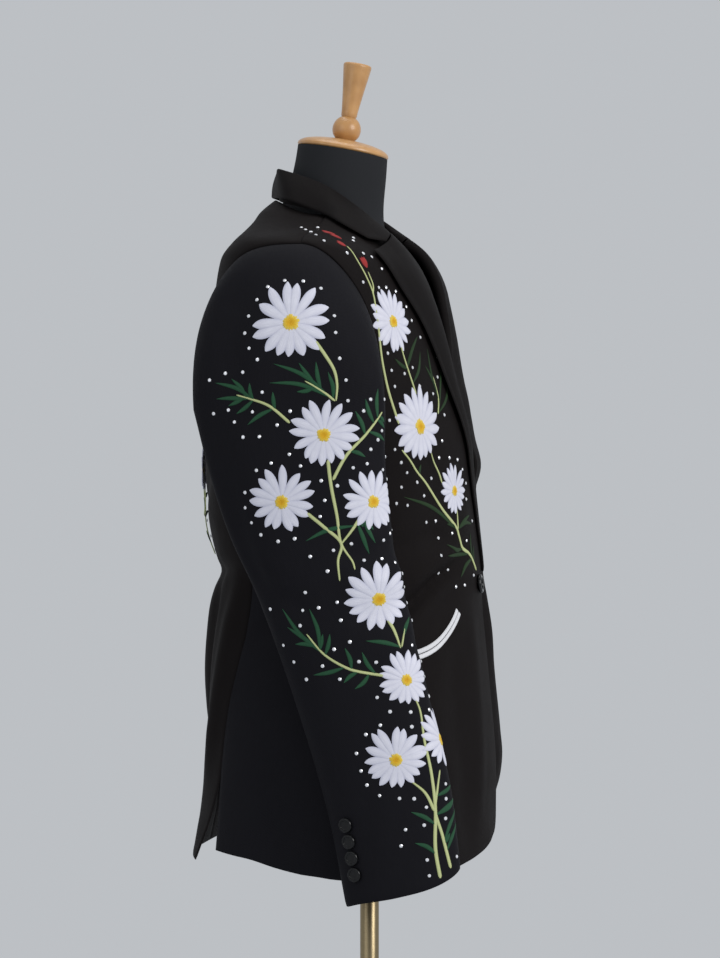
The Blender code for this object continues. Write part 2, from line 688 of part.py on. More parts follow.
def lapel_section(up, lift_at, bend):
    """A lapel's cross-section at this share of the roll line: round the roll, then out to its edge.

    Bend 1 takes the section by the notch, and its last two points then go on to the lapel's corner.
    """
    roll = smooth_curve(edge_curve(ROLL_LINE), 41)
    at = up * (len(roll) - 1)
    turn, rise = (np.interp(at, np.arange(len(roll)), roll[:, k]) for k in (0, 1))
    low, high = (roll[int(np.clip(round(at) + k, 0, len(roll) - 1))] for k in (-1, 1))
    row_rises = LAPEL_ROWS[0].rise + up * (LAPEL_ROWS[-1].rise - LAPEL_ROWS[0].rise)
    past_middle, roll_height, edge_lift, belly = smooth_rows(LAPEL_ROWS, row_rises)
    edge = np.array([float(turn_at(row_rises, past_middle)), row_rises])
    here = body_point(turn, rise, lift_at(body_base(turn, rise)))
    normal = body_normal(turn, rise)
    run = unit(body_base(*high) - body_base(*low))
    inward = unit(np.cross(normal, run))
    inward = inward if inward[0] > 0 else -inward
    radius = roll_height / 2
    points = []
    for angle in np.radians(np.linspace(0.0, 180.0, LAPEL_ROLL_POINTS)):
        off_edge = SEAM_GAP + CLOTH / 2 + radius * ROLL_FLATNESS * math.sin(angle)
        points.append(here + inward * off_edge + normal * radius * (1 - math.cos(angle)))
    notch = np.array([float(turn_at(NOTCH.rise, NOTCH.past_middle)), NOTCH.rise])
    start = np.array([turn, rise])
    past_notch = LAPEL_OUT_POINTS - LAPEL_NOTCH_POINT
    for j in range(1, LAPEL_OUT_POINTS + 1):
        share = j / LAPEL_OUT_POINTS
        if j <= LAPEL_NOTCH_POINT:
            by_notch = start + (notch - start) * j / LAPEL_NOTCH_POINT
        else:
            by_notch = notch + (edge - notch) * (j - LAPEL_NOTCH_POINT) / past_notch
        way = start + (edge - start) * share
        way = way + (by_notch - way) * bend
        height = roll_height + (edge_lift - roll_height) * share
        height += belly * math.sin(math.pi * min(1.0, share * BELLY_SPREAD))
        points.append(body_point(way[0], way[1], height + lift_at(body_base(*way))))
    return np.array(points)


def lapel_grid(lift_at):
    """Points of the right lapel: rows run up the roll line, columns go round the fold and out to the edge."""
    return np.array([lapel_section(up, lift_at, notch_bend(up)) for up in np.linspace(0, 1, LAPEL_COUNT)])


def build_lapels(finish):
    wall("lapel_right", lapel_grid(right_front_lift), CLOTH, finish)
    wall("lapel_left", mirrored(lapel_grid(left_front_lift)), CLOTH, finish)


def along_line(line, shares):
    """Points at these shares of a line's length."""
    steps = np.linalg.norm(np.diff(line, axis=0), axis=1)
    length = np.concatenate([[0], np.cumsum(steps)])
    at = np.asarray(shares) * length[-1]
    return np.stack([np.interp(at, length, line[:, k]) for k in range(3)], axis=-1)


def collar_row(station):
    """The collar's cross-section at one station: up the stand, over the fold and down the leaf."""
    radius = COLLAR_ROLL_RADIUS
    seat = np.array([0, 0, CLOTH / 2 + SEAM_GAP + COLLAR_SEAT])
    seam = body_point(station.seam_turn, NECK_RISE) + seat
    top = np.array([station.fold_x, station.fold_y, station.fold_z])
    edge = body_point(station.edge_turn, station.edge_rise, station.edge_lift)
    away = edge - top
    outwards = unit(away - np.array([0, 0, away[2]]) * COLLAR_LEVEL)
    rising = unit(top - (seam + edge) / 2)
    outwards = unit(outwards - rising * (outwards @ rising))
    inner_top = top - outwards * radius - rising * radius
    outer_top = top + outwards * radius - rising * radius
    stand_shares = np.linspace(0, 1, COLLAR_STAND_POINTS + 1)[:-1]
    line = [seam + (inner_top - seam) * share for share in stand_shares]
    middle = top - rising * radius
    for angle in np.radians(np.linspace(-90, 90, COLLAR_ROUND_POINTS)):
        line.append(middle + outwards * radius * math.sin(angle) + rising * radius * math.cos(angle))
    side = unit(np.cross(edge - outer_top, np.cross(outwards, rising)))
    side = side if side @ outwards > 0 else -side
    for share in np.linspace(0, 1, COLLAR_LEAF_POINTS + 1)[1:]:
        raised = station.bulge * math.sin(math.pi * share)
        line.append(outer_top + (edge - outer_top) * share + side * raised)
    return np.array(line)


def collar_end(lift_at):
    """The collar's last cross-section, along the gorge on the lapel's top and on to the leaf's corner."""
    section = lapel_section(1.0, lift_at, 1.0)
    gorge = section[: LAPEL_ROLL_POINTS + LAPEL_NOTCH_POINT]
    lower = 1.0 - GORGE_STEP
    behind = lapel_section(lower, lift_at, notch_bend(lower))[: len(gorge)]
    gorge = gorge + unit(gorge - behind) * GORGE_GAP
    count = COLLAR_STAND_POINTS + COLLAR_ROUND_POINTS + COLLAR_NOTCH_POINT
    line = along_line(gorge, np.linspace(0, 1, count))
    rise = COLLAR_CORNER.rise
    turn = float(turn_at(rise, COLLAR_CORNER.past_middle))
    corner = body_point(turn, rise, COLLAR_EDGE_LIFT + lift_at(body_base(turn, rise)))
    rest = COLLAR_LEAF_POINTS - COLLAR_NOTCH_POINT
    leaf = [line[-1] + (corner - line[-1]) * j / rest for j in range(1, rest + 1)]
    return np.concatenate([line, leaf])


def collar_half(lift_at, rows):
    """Rows of the right half of the collar, from the back's middle to its end at the gorge."""
    sections = np.array([collar_row(station) for station in COLLAR_STATIONS] + [collar_end(lift_at)])
    table = np.column_stack([np.arange(len(sections)), sections.reshape(len(sections), -1)])
    at = np.linspace(0, len(sections) - 1, rows)
    return smooth_rows(table, at).reshape(rows, -1, 3)


def collar_grid(half_rows):
    """Points of the collar's middle, from the wearer's right front round the neck to the left."""
    right = collar_half(right_front_lift, half_rows)
    left = mirrored(collar_half(left_front_lift, half_rows))
    return np.concatenate([right[::-1], left[1:]])


def build_collar(finish):
    wall("collar", collar_grid(COLLAR_HALF_ROWS), COLLAR_CLOTH, finish)


def sleeve_ring_points(ring, angles):
    """Points of one ring of the right sleeve. Angle 0 is its outer side and 90 its front."""
    outer = np.array([ring.outer_x, ring.middle_y, ring.outer_z])
    inner = np.array([ring.inner_x, ring.middle_y, ring.inner_z])
    middle, out = (outer + inner) / 2, (outer - inner) / 2
    ahead = np.array([0.0, -ring.half_width, ring.slope * ring.half_width])
    cosine, sine = np.cos(np.radians(angles)), np.sin(np.radians(angles))
    long_way = np.sign(cosine) * np.abs(cosine) ** SLEEVE_ROUND
    wide_way = np.sign(sine) * np.abs(sine) ** SLEEVE_ROUND
    return middle + long_way[:, None] * out + wide_way[:, None] * ahead


def sleeve_head(start, end, angles, rows):
    """Curves from the armhole to the biceps ring, which leave the body outwards and end downwards."""
    span = np.linalg.norm(end - start, axis=1, keepdims=True)
    sideways = -HEAD_SPREAD * np.sin(np.radians(angles))
    outwards = np.stack([-np.ones_like(sideways), sideways, np.full_like(sideways, HEAD_FALL)], axis=1)
    leave = span * HEAD_REACH * unit(outwards)
    arrive = span * HEAD_DROP * np.array([0.0, 0.0, -1.0])
    t = np.linspace(0, 1, rows)[:, None, None]
    return (
        (2 * t**3 - 3 * t**2 + 1) * start
        + (t**3 - 2 * t**2 + t) * leave
        + (3 * t**2 - 2 * t**3) * end
        + (t**3 - t**2) * arrive
    )


def sleeve_grid(angles, head_rows, arm_rows):
    """Points of the right sleeve at these angles, from the armhole to the cuff."""
    edge = armhole(angles)
    middle = np.array([SHOULDER_TURN, ARMHOLE_MIDDLE])
    reach = np.linalg.norm((edge - middle) * np.array([METRES_PER_TURN, 1.0]), axis=1, keepdims=True)
    start = middle + (edge - middle) * (1 - (SLEEVE_START_INSET + SEAM_GAP) / reach)
    rings = np.array([sleeve_ring_points(ring, angles) for ring in SLEEVE_RINGS])
    head = sleeve_head(body_point(start[:, 0], start[:, 1]), rings[0], angles, head_rows)
    fallen = -rings[:, :, 2].mean(axis=1)
    table = np.column_stack([fallen, rings.reshape(len(rings), -1)])
    arm = smooth_rows(table, np.linspace(fallen[0], fallen[-1], arm_rows))
    return np.concatenate([head, arm.reshape(arm_rows, len(angles), 3)[1:]])


def sleeve_pieces():
    """Points and directions of the right sleeve's upper and under piece, from one whole tube."""
    front, under, back = scye_angles()
    outer_part = [back[SLEEVE_BACK_STEPS:] - 360.0, front[1:]]
    round_the_arm = np.concatenate([*outer_part, under[1:], back[1:SLEEVE_BACK_STEPS]])
    whole = sleeve_grid(round_the_arm, HEAD_ROWS, ARM_ROWS)
    before, after = np.roll(whole, 1, axis=1), np.roll(whole, -1, axis=1)
    normals = unit(np.cross(np.gradient(whole, axis=0), after - before))
    front_seam = BACK_SCYE_STEPS - SLEEVE_BACK_STEPS + FRONT_SCYE_STEPS
    upper = np.arange(front_seam + 1)
    under_arm = np.append(np.arange(front_seam, whole.shape[1]), 0)
    pieces = []
    for columns in (upper, under_arm):
        points = whole[:, columns].copy()
        for edge, inner in ((0, 1), (-1, -2)):
            points[:, edge] += unit(points[:, inner] - points[:, edge]) * SLEEVE_SEAM_GAP
        pieces.append((points, normals[:, columns]))
    return pieces


def left_sleeve(grid):
    """The left sleeve hangs a little further back than the right one's mirror image."""
    swing = LEFT_SLEEVE_SWING * smooth_step((SWING_TOP - grid[..., 2]) / SWING_HEIGHT)
    return mirrored(grid) + swing[..., None] * np.array([0.0, 1.0, 0.0])


def build_sleeves(finish):
    for piece, (points, normals) in zip(("upper", "under"), sleeve_pieces()):
        wall(f"sleeve_{piece}_right", points, CLOTH, finish, normals)
        wall(f"sleeve_{piece}_left", left_sleeve(points), CLOTH, finish, mirrored(normals))


def pocket_centre_line(count):
    """How far round from the pocket's middle, how high and at what angle points along its smile lie."""
    angles = np.radians(np.linspace(-POCKET_FRONT_ANGLE, POCKET_BACK_ANGLE, count))
    across = POCKET_RADIUS * np.sin(angles)
    rise = POCKET_LOW_RISE + POCKET_RADIUS * (1 - np.cos(angles))
    return across, rise, angles


def turn_from_girth(rise, start_turn, length):
    """The turn that lies this length round the ring from a start."""
    turns = np.linspace(5.0, 125.0, 241)
    ring = body_base(turns, np.full_like(turns, rise))
    along = np.concatenate([[0], np.cumsum(np.linalg.norm(np.diff(ring, axis=0), axis=1))])
    return float(np.interp(np.interp(start_turn, turns, along) + length, along, turns))


def welt_grid(side, lift_at):
    """Points of a welt on the right pocket. Side is 1 above the slit and -1 below it."""
    across, rise, angles = pocket_centre_line(WELT_POINTS)
    near, far = WELT_SLIT / 2, WELT_SLIT / 2 + WELT_WIDTH
    grid = np.empty((len(across), 3, 3))
    for i in range(len(across)):
        for j, away in enumerate(np.linspace(near, far, 3)):
            step_across = -math.sin(angles[i]) * away * side
            step_up = math.cos(angles[i]) * away * side
            height = rise[i] + step_up
            turn = turn_from_girth(height, POCKET_MIDDLE_TURN, across[i] + step_across)
            lift = lift_at(body_base(turn, height)) + WELT_DOME * math.sin(math.pi * j / 2)
            grid[i, j] = body_point(turn, height, CLOTH / 2 + SEAM_GAP + WELT_CLOTH / 2 + lift)
    return grid


def build_pockets(finish):
    for place, side in (("upper", 1), ("lower", -1)):
        wall(f"pocket_welt_{place}_right", welt_grid(side, right_front_lift), WELT_CLOTH, finish)
        wall(f"pocket_welt_{place}_left", mirrored(welt_grid(side, left_front_lift)), WELT_CLOTH, finish)


def turned(name, outline, steps, finish):
    """A solid turned round its own Z from an outline that starts and ends on the axis."""
    points, faces = [], []
    rings = []
    for radius, height in outline:
        if radius == 0.0:
            rings.append([len(points)])
            points.append((0.0, 0.0, height))
            continue
        ring = []
        for k in range(steps):
            angle = 2 * math.pi * k / steps
            ring.append(len(points))
            points.append((radius * math.cos(angle), radius * math.sin(angle), height))
        rings.append(ring)
    for low, high in zip(rings, rings[1:]):
        for k in range(steps):
            following = (k + 1) % steps
            if len(low) == 1:
                faces.append((low[0], high[k], high[following]))
            elif len(high) == 1:
                faces.append((low[k], low[following], high[0]))
            else:
                faces.append((low[k], low[following], high[following], high[k]))
    return solid_from_mesh(name, points, faces, finish, 35.0)


def place_along(obj, point, normal):
    """Stands a turned solid on a point, with its own Z along the normal."""
    z_axis = unit(np.asarray(normal, float))
    helper = np.array([0.0, 0.0, 1.0]) if abs(z_axis[2]) < 0.9 else np.array([0.0, 1.0, 0.0])
    x_axis = unit(np.cross(helper, z_axis))
    y_axis = np.cross(z_axis, x_axis)
    matrix = np.eye(4)
    matrix[:3, 0], matrix[:3, 1], matrix[:3, 2], matrix[:3, 3] = x_axis, y_axis, z_axis, point
    obj.matrix_world = [list(map(float, row)) for row in matrix.T]
    return obj


def button_outline(radius, thick):
    """A button with a raised rim round a dished middle."""
    return [Outline(share.radius * radius, share.height * thick) for share in BUTTON_OUTLINE]


def build_front_button(finish):
    turn = float(turn_at(BUTTON_RISE, 0.0))
    base = body_base(turn, BUTTON_RISE)
    lift = float(right_front_lift(base)) + CLOTH / 2 + SEAM_GAP
    point = body_point(turn, BUTTON_RISE, lift + BUTTON_SEAT)
    outline = button_outline(FRONT_BUTTON_RADIUS, FRONT_BUTTON_THICK)
    button = turned("front_button", outline, 20, finish)
    place_along(button, point, body_normal(turn, BUTTON_RISE))


def sleeve_surface_frame(angle, up_from_hem):
    """A point of the right sleeve's outer face and its outward direction, near the cuff."""
    grid = sleeve_grid(angle + np.array([-3.0, 0.0, 3.0]), 10, 160)
    line = grid[:, 1]
    along = np.concatenate([[0], np.cumsum(np.linalg.norm(np.diff(line[::-1], axis=0), axis=1))])
    index = len(line) - 1 - int(np.searchsorted(along, up_from_hem))
    normal = unit(np.cross(grid[index, 2] - grid[index, 0], line[index + 1] - line[index - 1]))
    normal = normal if normal[0] < 0 else -normal
    return line[index], normal


def build_cuff_buttons(finish):
    outline = button_outline(CUFF_BUTTON_RADIUS, CUFF_BUTTON_THICK)
    for k in range(CUFF_BUTTON_COUNT):
        point, normal = sleeve_surface_frame(CUFF_BUTTON_ANGLE, CUFF_BUTTON_LOWEST + k * CUFF_BUTTON_PITCH)
        point = point + normal * (CLOTH / 2 + SEAM_GAP + CUFF_BUTTON_SEAT)
        right = turned(f"cuff_button_right_{k + 1}", outline, 12, finish)
        left = turned(f"cuff_button_left_{k + 1}", outline, 12, finish)
        place_along(right, point, normal)
        place_along(left, left_sleeve(point), mirrored(normal))


def form_ring(turns, rise):
    """Points of the form's skin at this rise, inside the cloth."""
    rises = np.full_like(turns, rise)
    inset = float(smooth_rows(FORM_INSETS, np.array(rise))[0])
    return body_base(turns, rises) - body_normal(turns, rises) * inset


def form_bottom_rings(lowest):
    """The form's lower edge: a ring under its lowest one, and a smaller one on its flat bottom."""
    edge, flat = lowest.copy(), lowest.copy()
    edge[:, 2] = FORM_BOTTOM + FORM_BOTTOM_EDGE
    middle = np.array([0.0, FORM_MIDDLE_Y])
    flat[:, :2] = middle + (lowest[:, :2] - middle) * FORM_BOTTOM_SHARE
    flat[:, 2] = FORM_BOTTOM
    return [flat, edge]


def neck_ring_points(neck, turns):
    angles = np.radians(turns)
    x = -neck.half_width * np.sin(angles)
    y = neck.middle_y - neck.half_depth * np.cos(angles)
    z = neck.middle_z - neck.half_depth * np.cos(angles) * neck.tilt
    return np.stack([x, y, z], axis=-1)


def build_form_torso(finish):
    """The form's smooth body and neck, as one solid of rings from its flat bottom to the sloping neck top."""
    turns = np.linspace(-180.0, 180.0, FORM_STEPS, endpoint=False)
    skin = [form_ring(turns, rise) for rise in FORM_RISES]
    rings = form_bottom_rings(skin[0]) + skin[1:]
    rings += [neck_ring_points(neck, turns) for neck in NECK_RINGS]
    faces = []
    for low in range(len(rings) - 1):
        for k in range(FORM_STEPS):
            a = low * FORM_STEPS + k
            b = low * FORM_STEPS + (k + 1) % FORM_STEPS
            faces.append((a, b, b + FORM_STEPS, a + FORM_STEPS))
    last = (len(rings) - 1) * FORM_STEPS
    faces.append(tuple(range(FORM_STEPS)))
    faces.append(tuple(range(last, last + FORM_STEPS)))
    return solid_from_mesh("form_torso", np.concatenate(rings), faces, finish)


def neck_axis():
    return np.array([0.0, -math.sin(NECK_TILT), math.cos(NECK_TILT)])


def finial_outline():
    """A ball on a small foot, and a cone that widens upwards from it."""
    ball = []
    for angle in np.radians([62, 84, 106, 128, 150]):
        height = FINIAL_BALL_HEIGHT - FINIAL_BALL_RADIUS * math.cos(angle)
        ball.append(Outline(FINIAL_BALL_RADIUS * math.sin(angle), height))
    foot = [Outline(0.0, 0.0), Outline(FINIAL_FOOT_RADIUS, 0.0)]
    return foot + ball + FINIAL_NECK_OUTLINE


def build_form_top(wood):
    """The wooden cap on the neck and the turned finial on it, both square to the sloping neck top."""
    top = NECK_RINGS[-1]
    seat = np.array([0.0, top.middle_y, top.middle_z]) + neck_axis() * SEAM_GAP
    place_along(turned("form_cap", CAP_OUTLINE, 28, wood), seat, neck_axis())
    finial_seat = seat + neck_axis() * (CAP_HEIGHT + SEAM_GAP)
    place_along(turned("form_finial", finial_outline(), 20, wood), finial_seat, neck_axis())


def build_stand(metal):
    turned("stand_base", BASE_OUTLINE, 40, metal)
    low, high = SOCKET_HEIGHT + SEAM_GAP, FORM_BOTTOM - SEAM_GAP
    pole = [Outline(0.0, low), Outline(POLE_RADIUS, low), Outline(POLE_RADIUS, high), Outline(0.0, high)]
    turned("stand_pole", pole, 16, metal)


def main():
    clear_scene()
    suiting = material("suiting", (0.012, 0.012, 0.016), 0.85)
    piping = material("piping", (0.80, 0.80, 0.84), 0.55)
    horn = material("button", (0.010, 0.010, 0.011), 0.25)
    jersey = material("form_jersey", (0.030, 0.033, 0.042), 0.90)
    wood = material("form_wood", (0.62, 0.36, 0.13), 0.35)
    brass = material("stand_brass", (0.62, 0.47, 0.26), 0.28, 1.0)
    build_fronts(suiting)
    build_sides_and_backs(suiting)
    build_lapels(suiting)
    build_collar(suiting)
    build_sleeves(suiting)
    build_pockets(piping)
    build_front_button(horn)
    build_cuff_buttons(horn)
    build_form_torso(jersey)
    build_form_top(wood)
    build_stand(brass)


main()
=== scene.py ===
"""The looks of an embroidered western suit jacket on a dress form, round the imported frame.

The wearer faces -Y and the wearer's right is -X. The cloth's surfaces follow the solids' own sizes,
with finer folds, and the embroidery lies on charts of them: metres round and metres up.
"""

import functools
import math
from collections import namedtuple

import bmesh
import bpy
import numpy as np
from mathutils import Matrix, Vector


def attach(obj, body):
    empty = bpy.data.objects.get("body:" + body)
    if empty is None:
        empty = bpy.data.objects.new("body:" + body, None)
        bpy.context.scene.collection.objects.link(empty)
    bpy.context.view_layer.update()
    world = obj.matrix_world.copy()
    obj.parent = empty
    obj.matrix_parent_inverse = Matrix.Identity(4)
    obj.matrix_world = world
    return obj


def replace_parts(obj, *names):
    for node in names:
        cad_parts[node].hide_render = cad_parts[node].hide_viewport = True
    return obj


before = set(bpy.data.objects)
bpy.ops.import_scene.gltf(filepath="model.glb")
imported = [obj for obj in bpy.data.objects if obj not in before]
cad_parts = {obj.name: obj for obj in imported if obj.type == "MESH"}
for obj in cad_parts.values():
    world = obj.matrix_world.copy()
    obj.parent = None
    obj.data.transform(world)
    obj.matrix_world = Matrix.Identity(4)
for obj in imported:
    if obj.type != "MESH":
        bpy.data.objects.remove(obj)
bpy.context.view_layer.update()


def rows_of(kind, rows):
    """A table's rows, with their columns named."""
    return [kind(*row) for row in rows]


# Cloth, as walls
CLOTH = 0.0022
SEAM_GAP = 0.00002
COLLAR_CLOTH = 0.0026
WELT_CLOTH = 0.0012

# The garment's cut, measured as a rise along its side from the floor, and as a turn in degrees round it
HEM_RISE = 0.802
NECK_RISE = 1.582
ARMHOLE_MIDDLE = 1.351
ARMHOLE_HALF_HEIGHT = 0.089
ARMHOLE_FRONT_TURN = 34.5
ARMHOLE_BACK_TURN = 45.0
SHOULDER_TURN = 90.0
HALF_GAP_TURN = 0.003
METRES_PER_TURN = 0.0030

# The single button's closing, right front over left
BUTTON_RISE = 1.090
BUTTON_PAST_MIDDLE = -0.012
RIGHT_FRONT_LIFT = 0.0046
RIGHT_PUFF_LIFT = 0.0030

# The dress form
POLE_RADIUS = 0.010
BASE_RADIUS = 0.205
BASE_THICK = 0.012
FORM_BOTTOM = 0.872
NECK_TILT = math.radians(10.0)

# One ring of the body: its front, side and back points, and how round its quarters are.
Ring = namedtuple("Ring", "rise front_y front_z side_x side_y side_z back_y back_z front_round back_round")
JACKET_RINGS = rows_of(Ring, [
    (0.802, -0.129, 0.792, 0.210, 0.016, 0.802, 0.175, 0.812, 0.84, 0.70),
    (0.850, -0.128, 0.843, 0.208, 0.016, 0.850, 0.166, 0.857, 0.84, 0.73),
    (0.920, -0.128, 0.915, 0.203, 0.016, 0.920, 0.163, 0.924, 0.84, 0.76),
    (1.000, -0.121, 0.998, 0.190, 0.018, 1.000, 0.167, 1.002, 0.86, 0.78),
    (1.090, -0.111, 1.089, 0.177, 0.022, 1.090, 0.162, 1.091, 0.88, 0.80),
    (1.180, -0.103, 1.179, 0.188, 0.024, 1.180, 0.164, 1.181, 0.90, 0.78),
    (1.262, -0.097, 1.261, 0.200, 0.026, 1.262, 0.163, 1.264, 0.90, 0.74),
    (1.350, -0.080, 1.345, 0.212, 0.030, 1.352, 0.154, 1.358, 0.95, 0.70),
    (1.420, -0.066, 1.392, 0.219, 0.031, 1.418, 0.139, 1.425, 1.06, 0.66),
    (1.445, -0.061, 1.405, 0.213, 0.031, 1.436, 0.127, 1.442, 1.12, 0.66),
    (1.480, -0.054, 1.419, 0.180, 0.031, 1.446, 0.117, 1.460, 1.16, 0.70),
    (1.530, -0.042, 1.436, 0.131, 0.031, 1.457, 0.109, 1.479, 1.12, 0.78),
    (1.582, -0.024, 1.452, 0.081, 0.031, 1.474, 0.096, 1.495, 1.00, 0.86),
])

# How far the form's skin lies inside the cloth's middle, and the form's own neck above the shoulders
FormInset = namedtuple("FormInset", "rise inset")
FORM_INSETS = rows_of(FormInset, [
    (0.850, 0.030), (1.000, 0.024), (1.090, 0.026), (1.180, 0.020), (1.262, 0.018), (1.350, 0.015),
    (1.420, 0.0125), (1.445, 0.0092), (1.470, 0.0050), (1.500, 0.0037), (1.582, 0.0031),
])
NeckRing = namedtuple("NeckRing", "middle_y middle_z half_depth half_width tilt")
NECK_RINGS = rows_of(NeckRing, [
    (0.0375, 1.474, 0.0560, 0.0660, 0.330), (0.0365, 1.486, 0.0515, 0.0570, 0.300),
    (0.0350, 1.503, 0.0495, 0.0530, 0.250), (0.0310, 1.530, 0.0482, 0.0510, 0.200),
    (0.0290, 1.548, 0.0475, 0.0500, 0.1763),
])

# Largest folds: a soft trough from one point of the right half's surface to another
Fold = namedtuple("Fold", "start end width depth")
FOLDS = [
    Fold((-0.125, 0.150, 1.108), (0.125, 0.150, 1.108), 0.026, 0.0150),
    Fold((-0.045, -0.118, 1.098), (-0.150, -0.075, 1.052), 0.010, 0.0032),
    Fold((-0.040, -0.118, 1.118), (-0.140, -0.085, 1.150), 0.012, 0.0026),
    Fold((-0.105, 0.150, 1.030), (-0.085, 0.165, 0.860), 0.014, 0.0040),
]
FOLD_STRETCH = (0.6, 0.6, 1.0)
FOLD_END_FADE = 1.3

# Seams of the body, as a turn from the front middle at each rise
SeamPoint = namedtuple("SeamPoint", "rise turn")
FRONT_SIDE_SEAM = [SeamPoint(0.802, 66.0), SeamPoint(1.090, 62.0), SeamPoint(1.302, 62.0)]
BACK_SIDE_SEAM = rows_of(SeamPoint, [
    (0.802, 127.0), (0.847, 130.5), (0.896, 131.2), (0.929, 129.7), (0.967, 125.8), (1.005, 120.9),
    (1.043, 117.0), (1.090, 114.5), (1.170, 115.5), (1.288, 122.0),
])
# The side panel's hem rises towards its vent's edge
SIDE_HEM = rows_of(SeamPoint, [
    (0.802, 66.0), (0.803, 86.0), (0.811, 97.0), (0.8185, 108.0), (0.8205, 118.0), (0.8215, 127.0),
])
NECK_CURVE = 1.6
BACK_LEVEL_RISE = 1.350
VENT_TOP = 0.905
VENT_OPEN_TURN = 21.0
VENT_CURVE = 1.6

# A front's free edge: how far it lies past the middle, at each rise. The quarter is its low, rounded part.
# The right front, on top, has a short round corner, and the left one is cut away further.
EdgePoint = namedtuple("EdgePoint", "rise past_middle")
RIGHT_QUARTER = rows_of(EdgePoint, [
    (0.8020, -0.168), (0.8055, -0.151), (0.8100, -0.133), (0.8140, -0.112), (0.8182, -0.084),
    (0.8232, -0.054), (0.8288, -0.022), (0.8350, 0.003),
])
RIGHT_FRONT_EDGE = rows_of(EdgePoint, [
    (0.835, 0.003), (0.843, 0.014), (0.854, 0.019), (0.885, 0.018), (0.915, 0.014), (0.950, 0.010),
    (1.000, 0.009), (1.050, 0.013), (1.102, 0.020),
])
LEFT_QUARTER = rows_of(EdgePoint, [
    (0.8020, -0.152), (0.8050, -0.136), (0.8105, -0.116), (0.8190, -0.091), (0.8300, -0.062),
    (0.8460, -0.032), (0.8850, 0.004),
])
LEFT_FRONT_EDGE = rows_of(EdgePoint, [
    (0.885, 0.004), (0.930, 0.014), (0.980, 0.019), (1.040, 0.020), (1.102, 0.020),
])
# The roll line, on which both lapels turn back
ROLL_LINE = rows_of(EdgePoint, [
    (1.102, 0.020), (1.180, 0.004), (1.262, -0.013), (1.350, -0.028), (1.430, -0.040), (1.500, -0.048),
    (1.555, -0.053),
])
# A lapel's outer edge, its roll's height off the front, and how far its edge and its belly stand off
LapelRow = namedtuple("LapelRow", "rise past_middle roll_height edge_lift belly")
LAPEL_ROWS = rows_of(LapelRow, [
    (1.102, 0.0150, 0.0028, 0.0029, 0.0000), (1.150, -0.0020, 0.0029, 0.0031, 0.0002),
    (1.200, -0.0230, 0.0032, 0.0038, 0.0006), (1.243, -0.0400, 0.0044, 0.0052, 0.0020),
    (1.283, -0.0560, 0.0062, 0.0062, 0.0030), (1.320, -0.0720, 0.0072, 0.0058, 0.0034),
    (1.372, -0.0980, 0.0084, 0.0052, 0.0036), (1.414, -0.1250, 0.0092, 0.0050, 0.0036),
    (1.440, -0.1360, 0.0096, 0.0050, 0.0036), (1.463, -0.1390, 0.0100, 0.0050, 0.0036),
])
NOTCH = EdgePoint(1.505, -0.092)
COLLAR_CORNER = EdgePoint(1.506, -0.1150)
COLLAR_EDGE_LIFT = 0.0050
# From this share of the roll line up, the lapel's cross-section bends towards the notch
NOTCH_BEND_START = 0.70
ROLL_FLATNESS = 0.85
BELLY_SPREAD = 1.15
# The left lapel and the collar's left end stand off more than the right ones
LEFT_LAPEL_LIFT = 0.0065
GORGE_GAP = 0.0016
GORGE_STEP = 0.03
COLLAR_SEAT = 0.0010
COLLAR_ROLL_RADIUS = 0.0030
COLLAR_LEVEL = 0.75

# Where a lift of a front starts and how far it takes to fade, in metres
Fade = namedtuple("Fade", "start length")
LIFT_GROWS_UP = Fade(1.050, 0.070)
LIFT_ENDS_ACROSS = Fade(0.030, 0.085)
LIFT_ENDS_UP = Fade(1.225, 0.090)
LAPEL_LIFT_GROWS_UP = Fade(1.350, 0.090)
LAPEL_LIFT_ENDS_ACROSS = Fade(0.055, 0.115)
LAPEL_LIFT_ENDS_BACK = Fade(-0.045, 0.040)
# How far the left front bulges out beside the right one's edge, at each rise
BesideRow = namedtuple("BesideRow", "rise stands_off")
LEFT_BESIDE = rows_of(BesideRow, [
    (0.802, -0.0040), (0.840, -0.0035), (0.860, -0.0010), (0.881, 0.0036), (0.905, 0.0060),
    (0.930, 0.0052), (1.000, 0.0054), (1.043, 0.0085), (1.090, 0.0083), (1.134, 0.0070),
    (1.220, 0.0040), (1.300, 0.0000),
])
BESIDE_GROWS_ACROSS = Fade(0.022, 0.025)
BESIDE_ENDS_ACROSS = Fade(0.060, 0.090)

# The collar: where its fold lies at each station round the neck, and where its leaf ends
CollarStation = namedtuple(
    "CollarStation", "seam_turn fold_x fold_y fold_z edge_turn edge_rise edge_lift bulge"
)
COLLAR_STATIONS = [
    CollarStation(180.0, 0.0000, 0.0965, 1.5290, 180.0, 1.577, 0.0080, 0.0015),
    CollarStation(135.0, -0.0440, 0.0860, 1.5240, 130.0, 1.577, 0.0085, 0.0015),
    CollarStation(90.0, -0.0640, 0.0380, 1.5060, 92.0, 1.571, 0.0050, 0.0015),
    CollarStation(60.0, -0.0630, 0.0040, 1.4830, 70.0, 1.537, 0.0050, 0.0030),
]

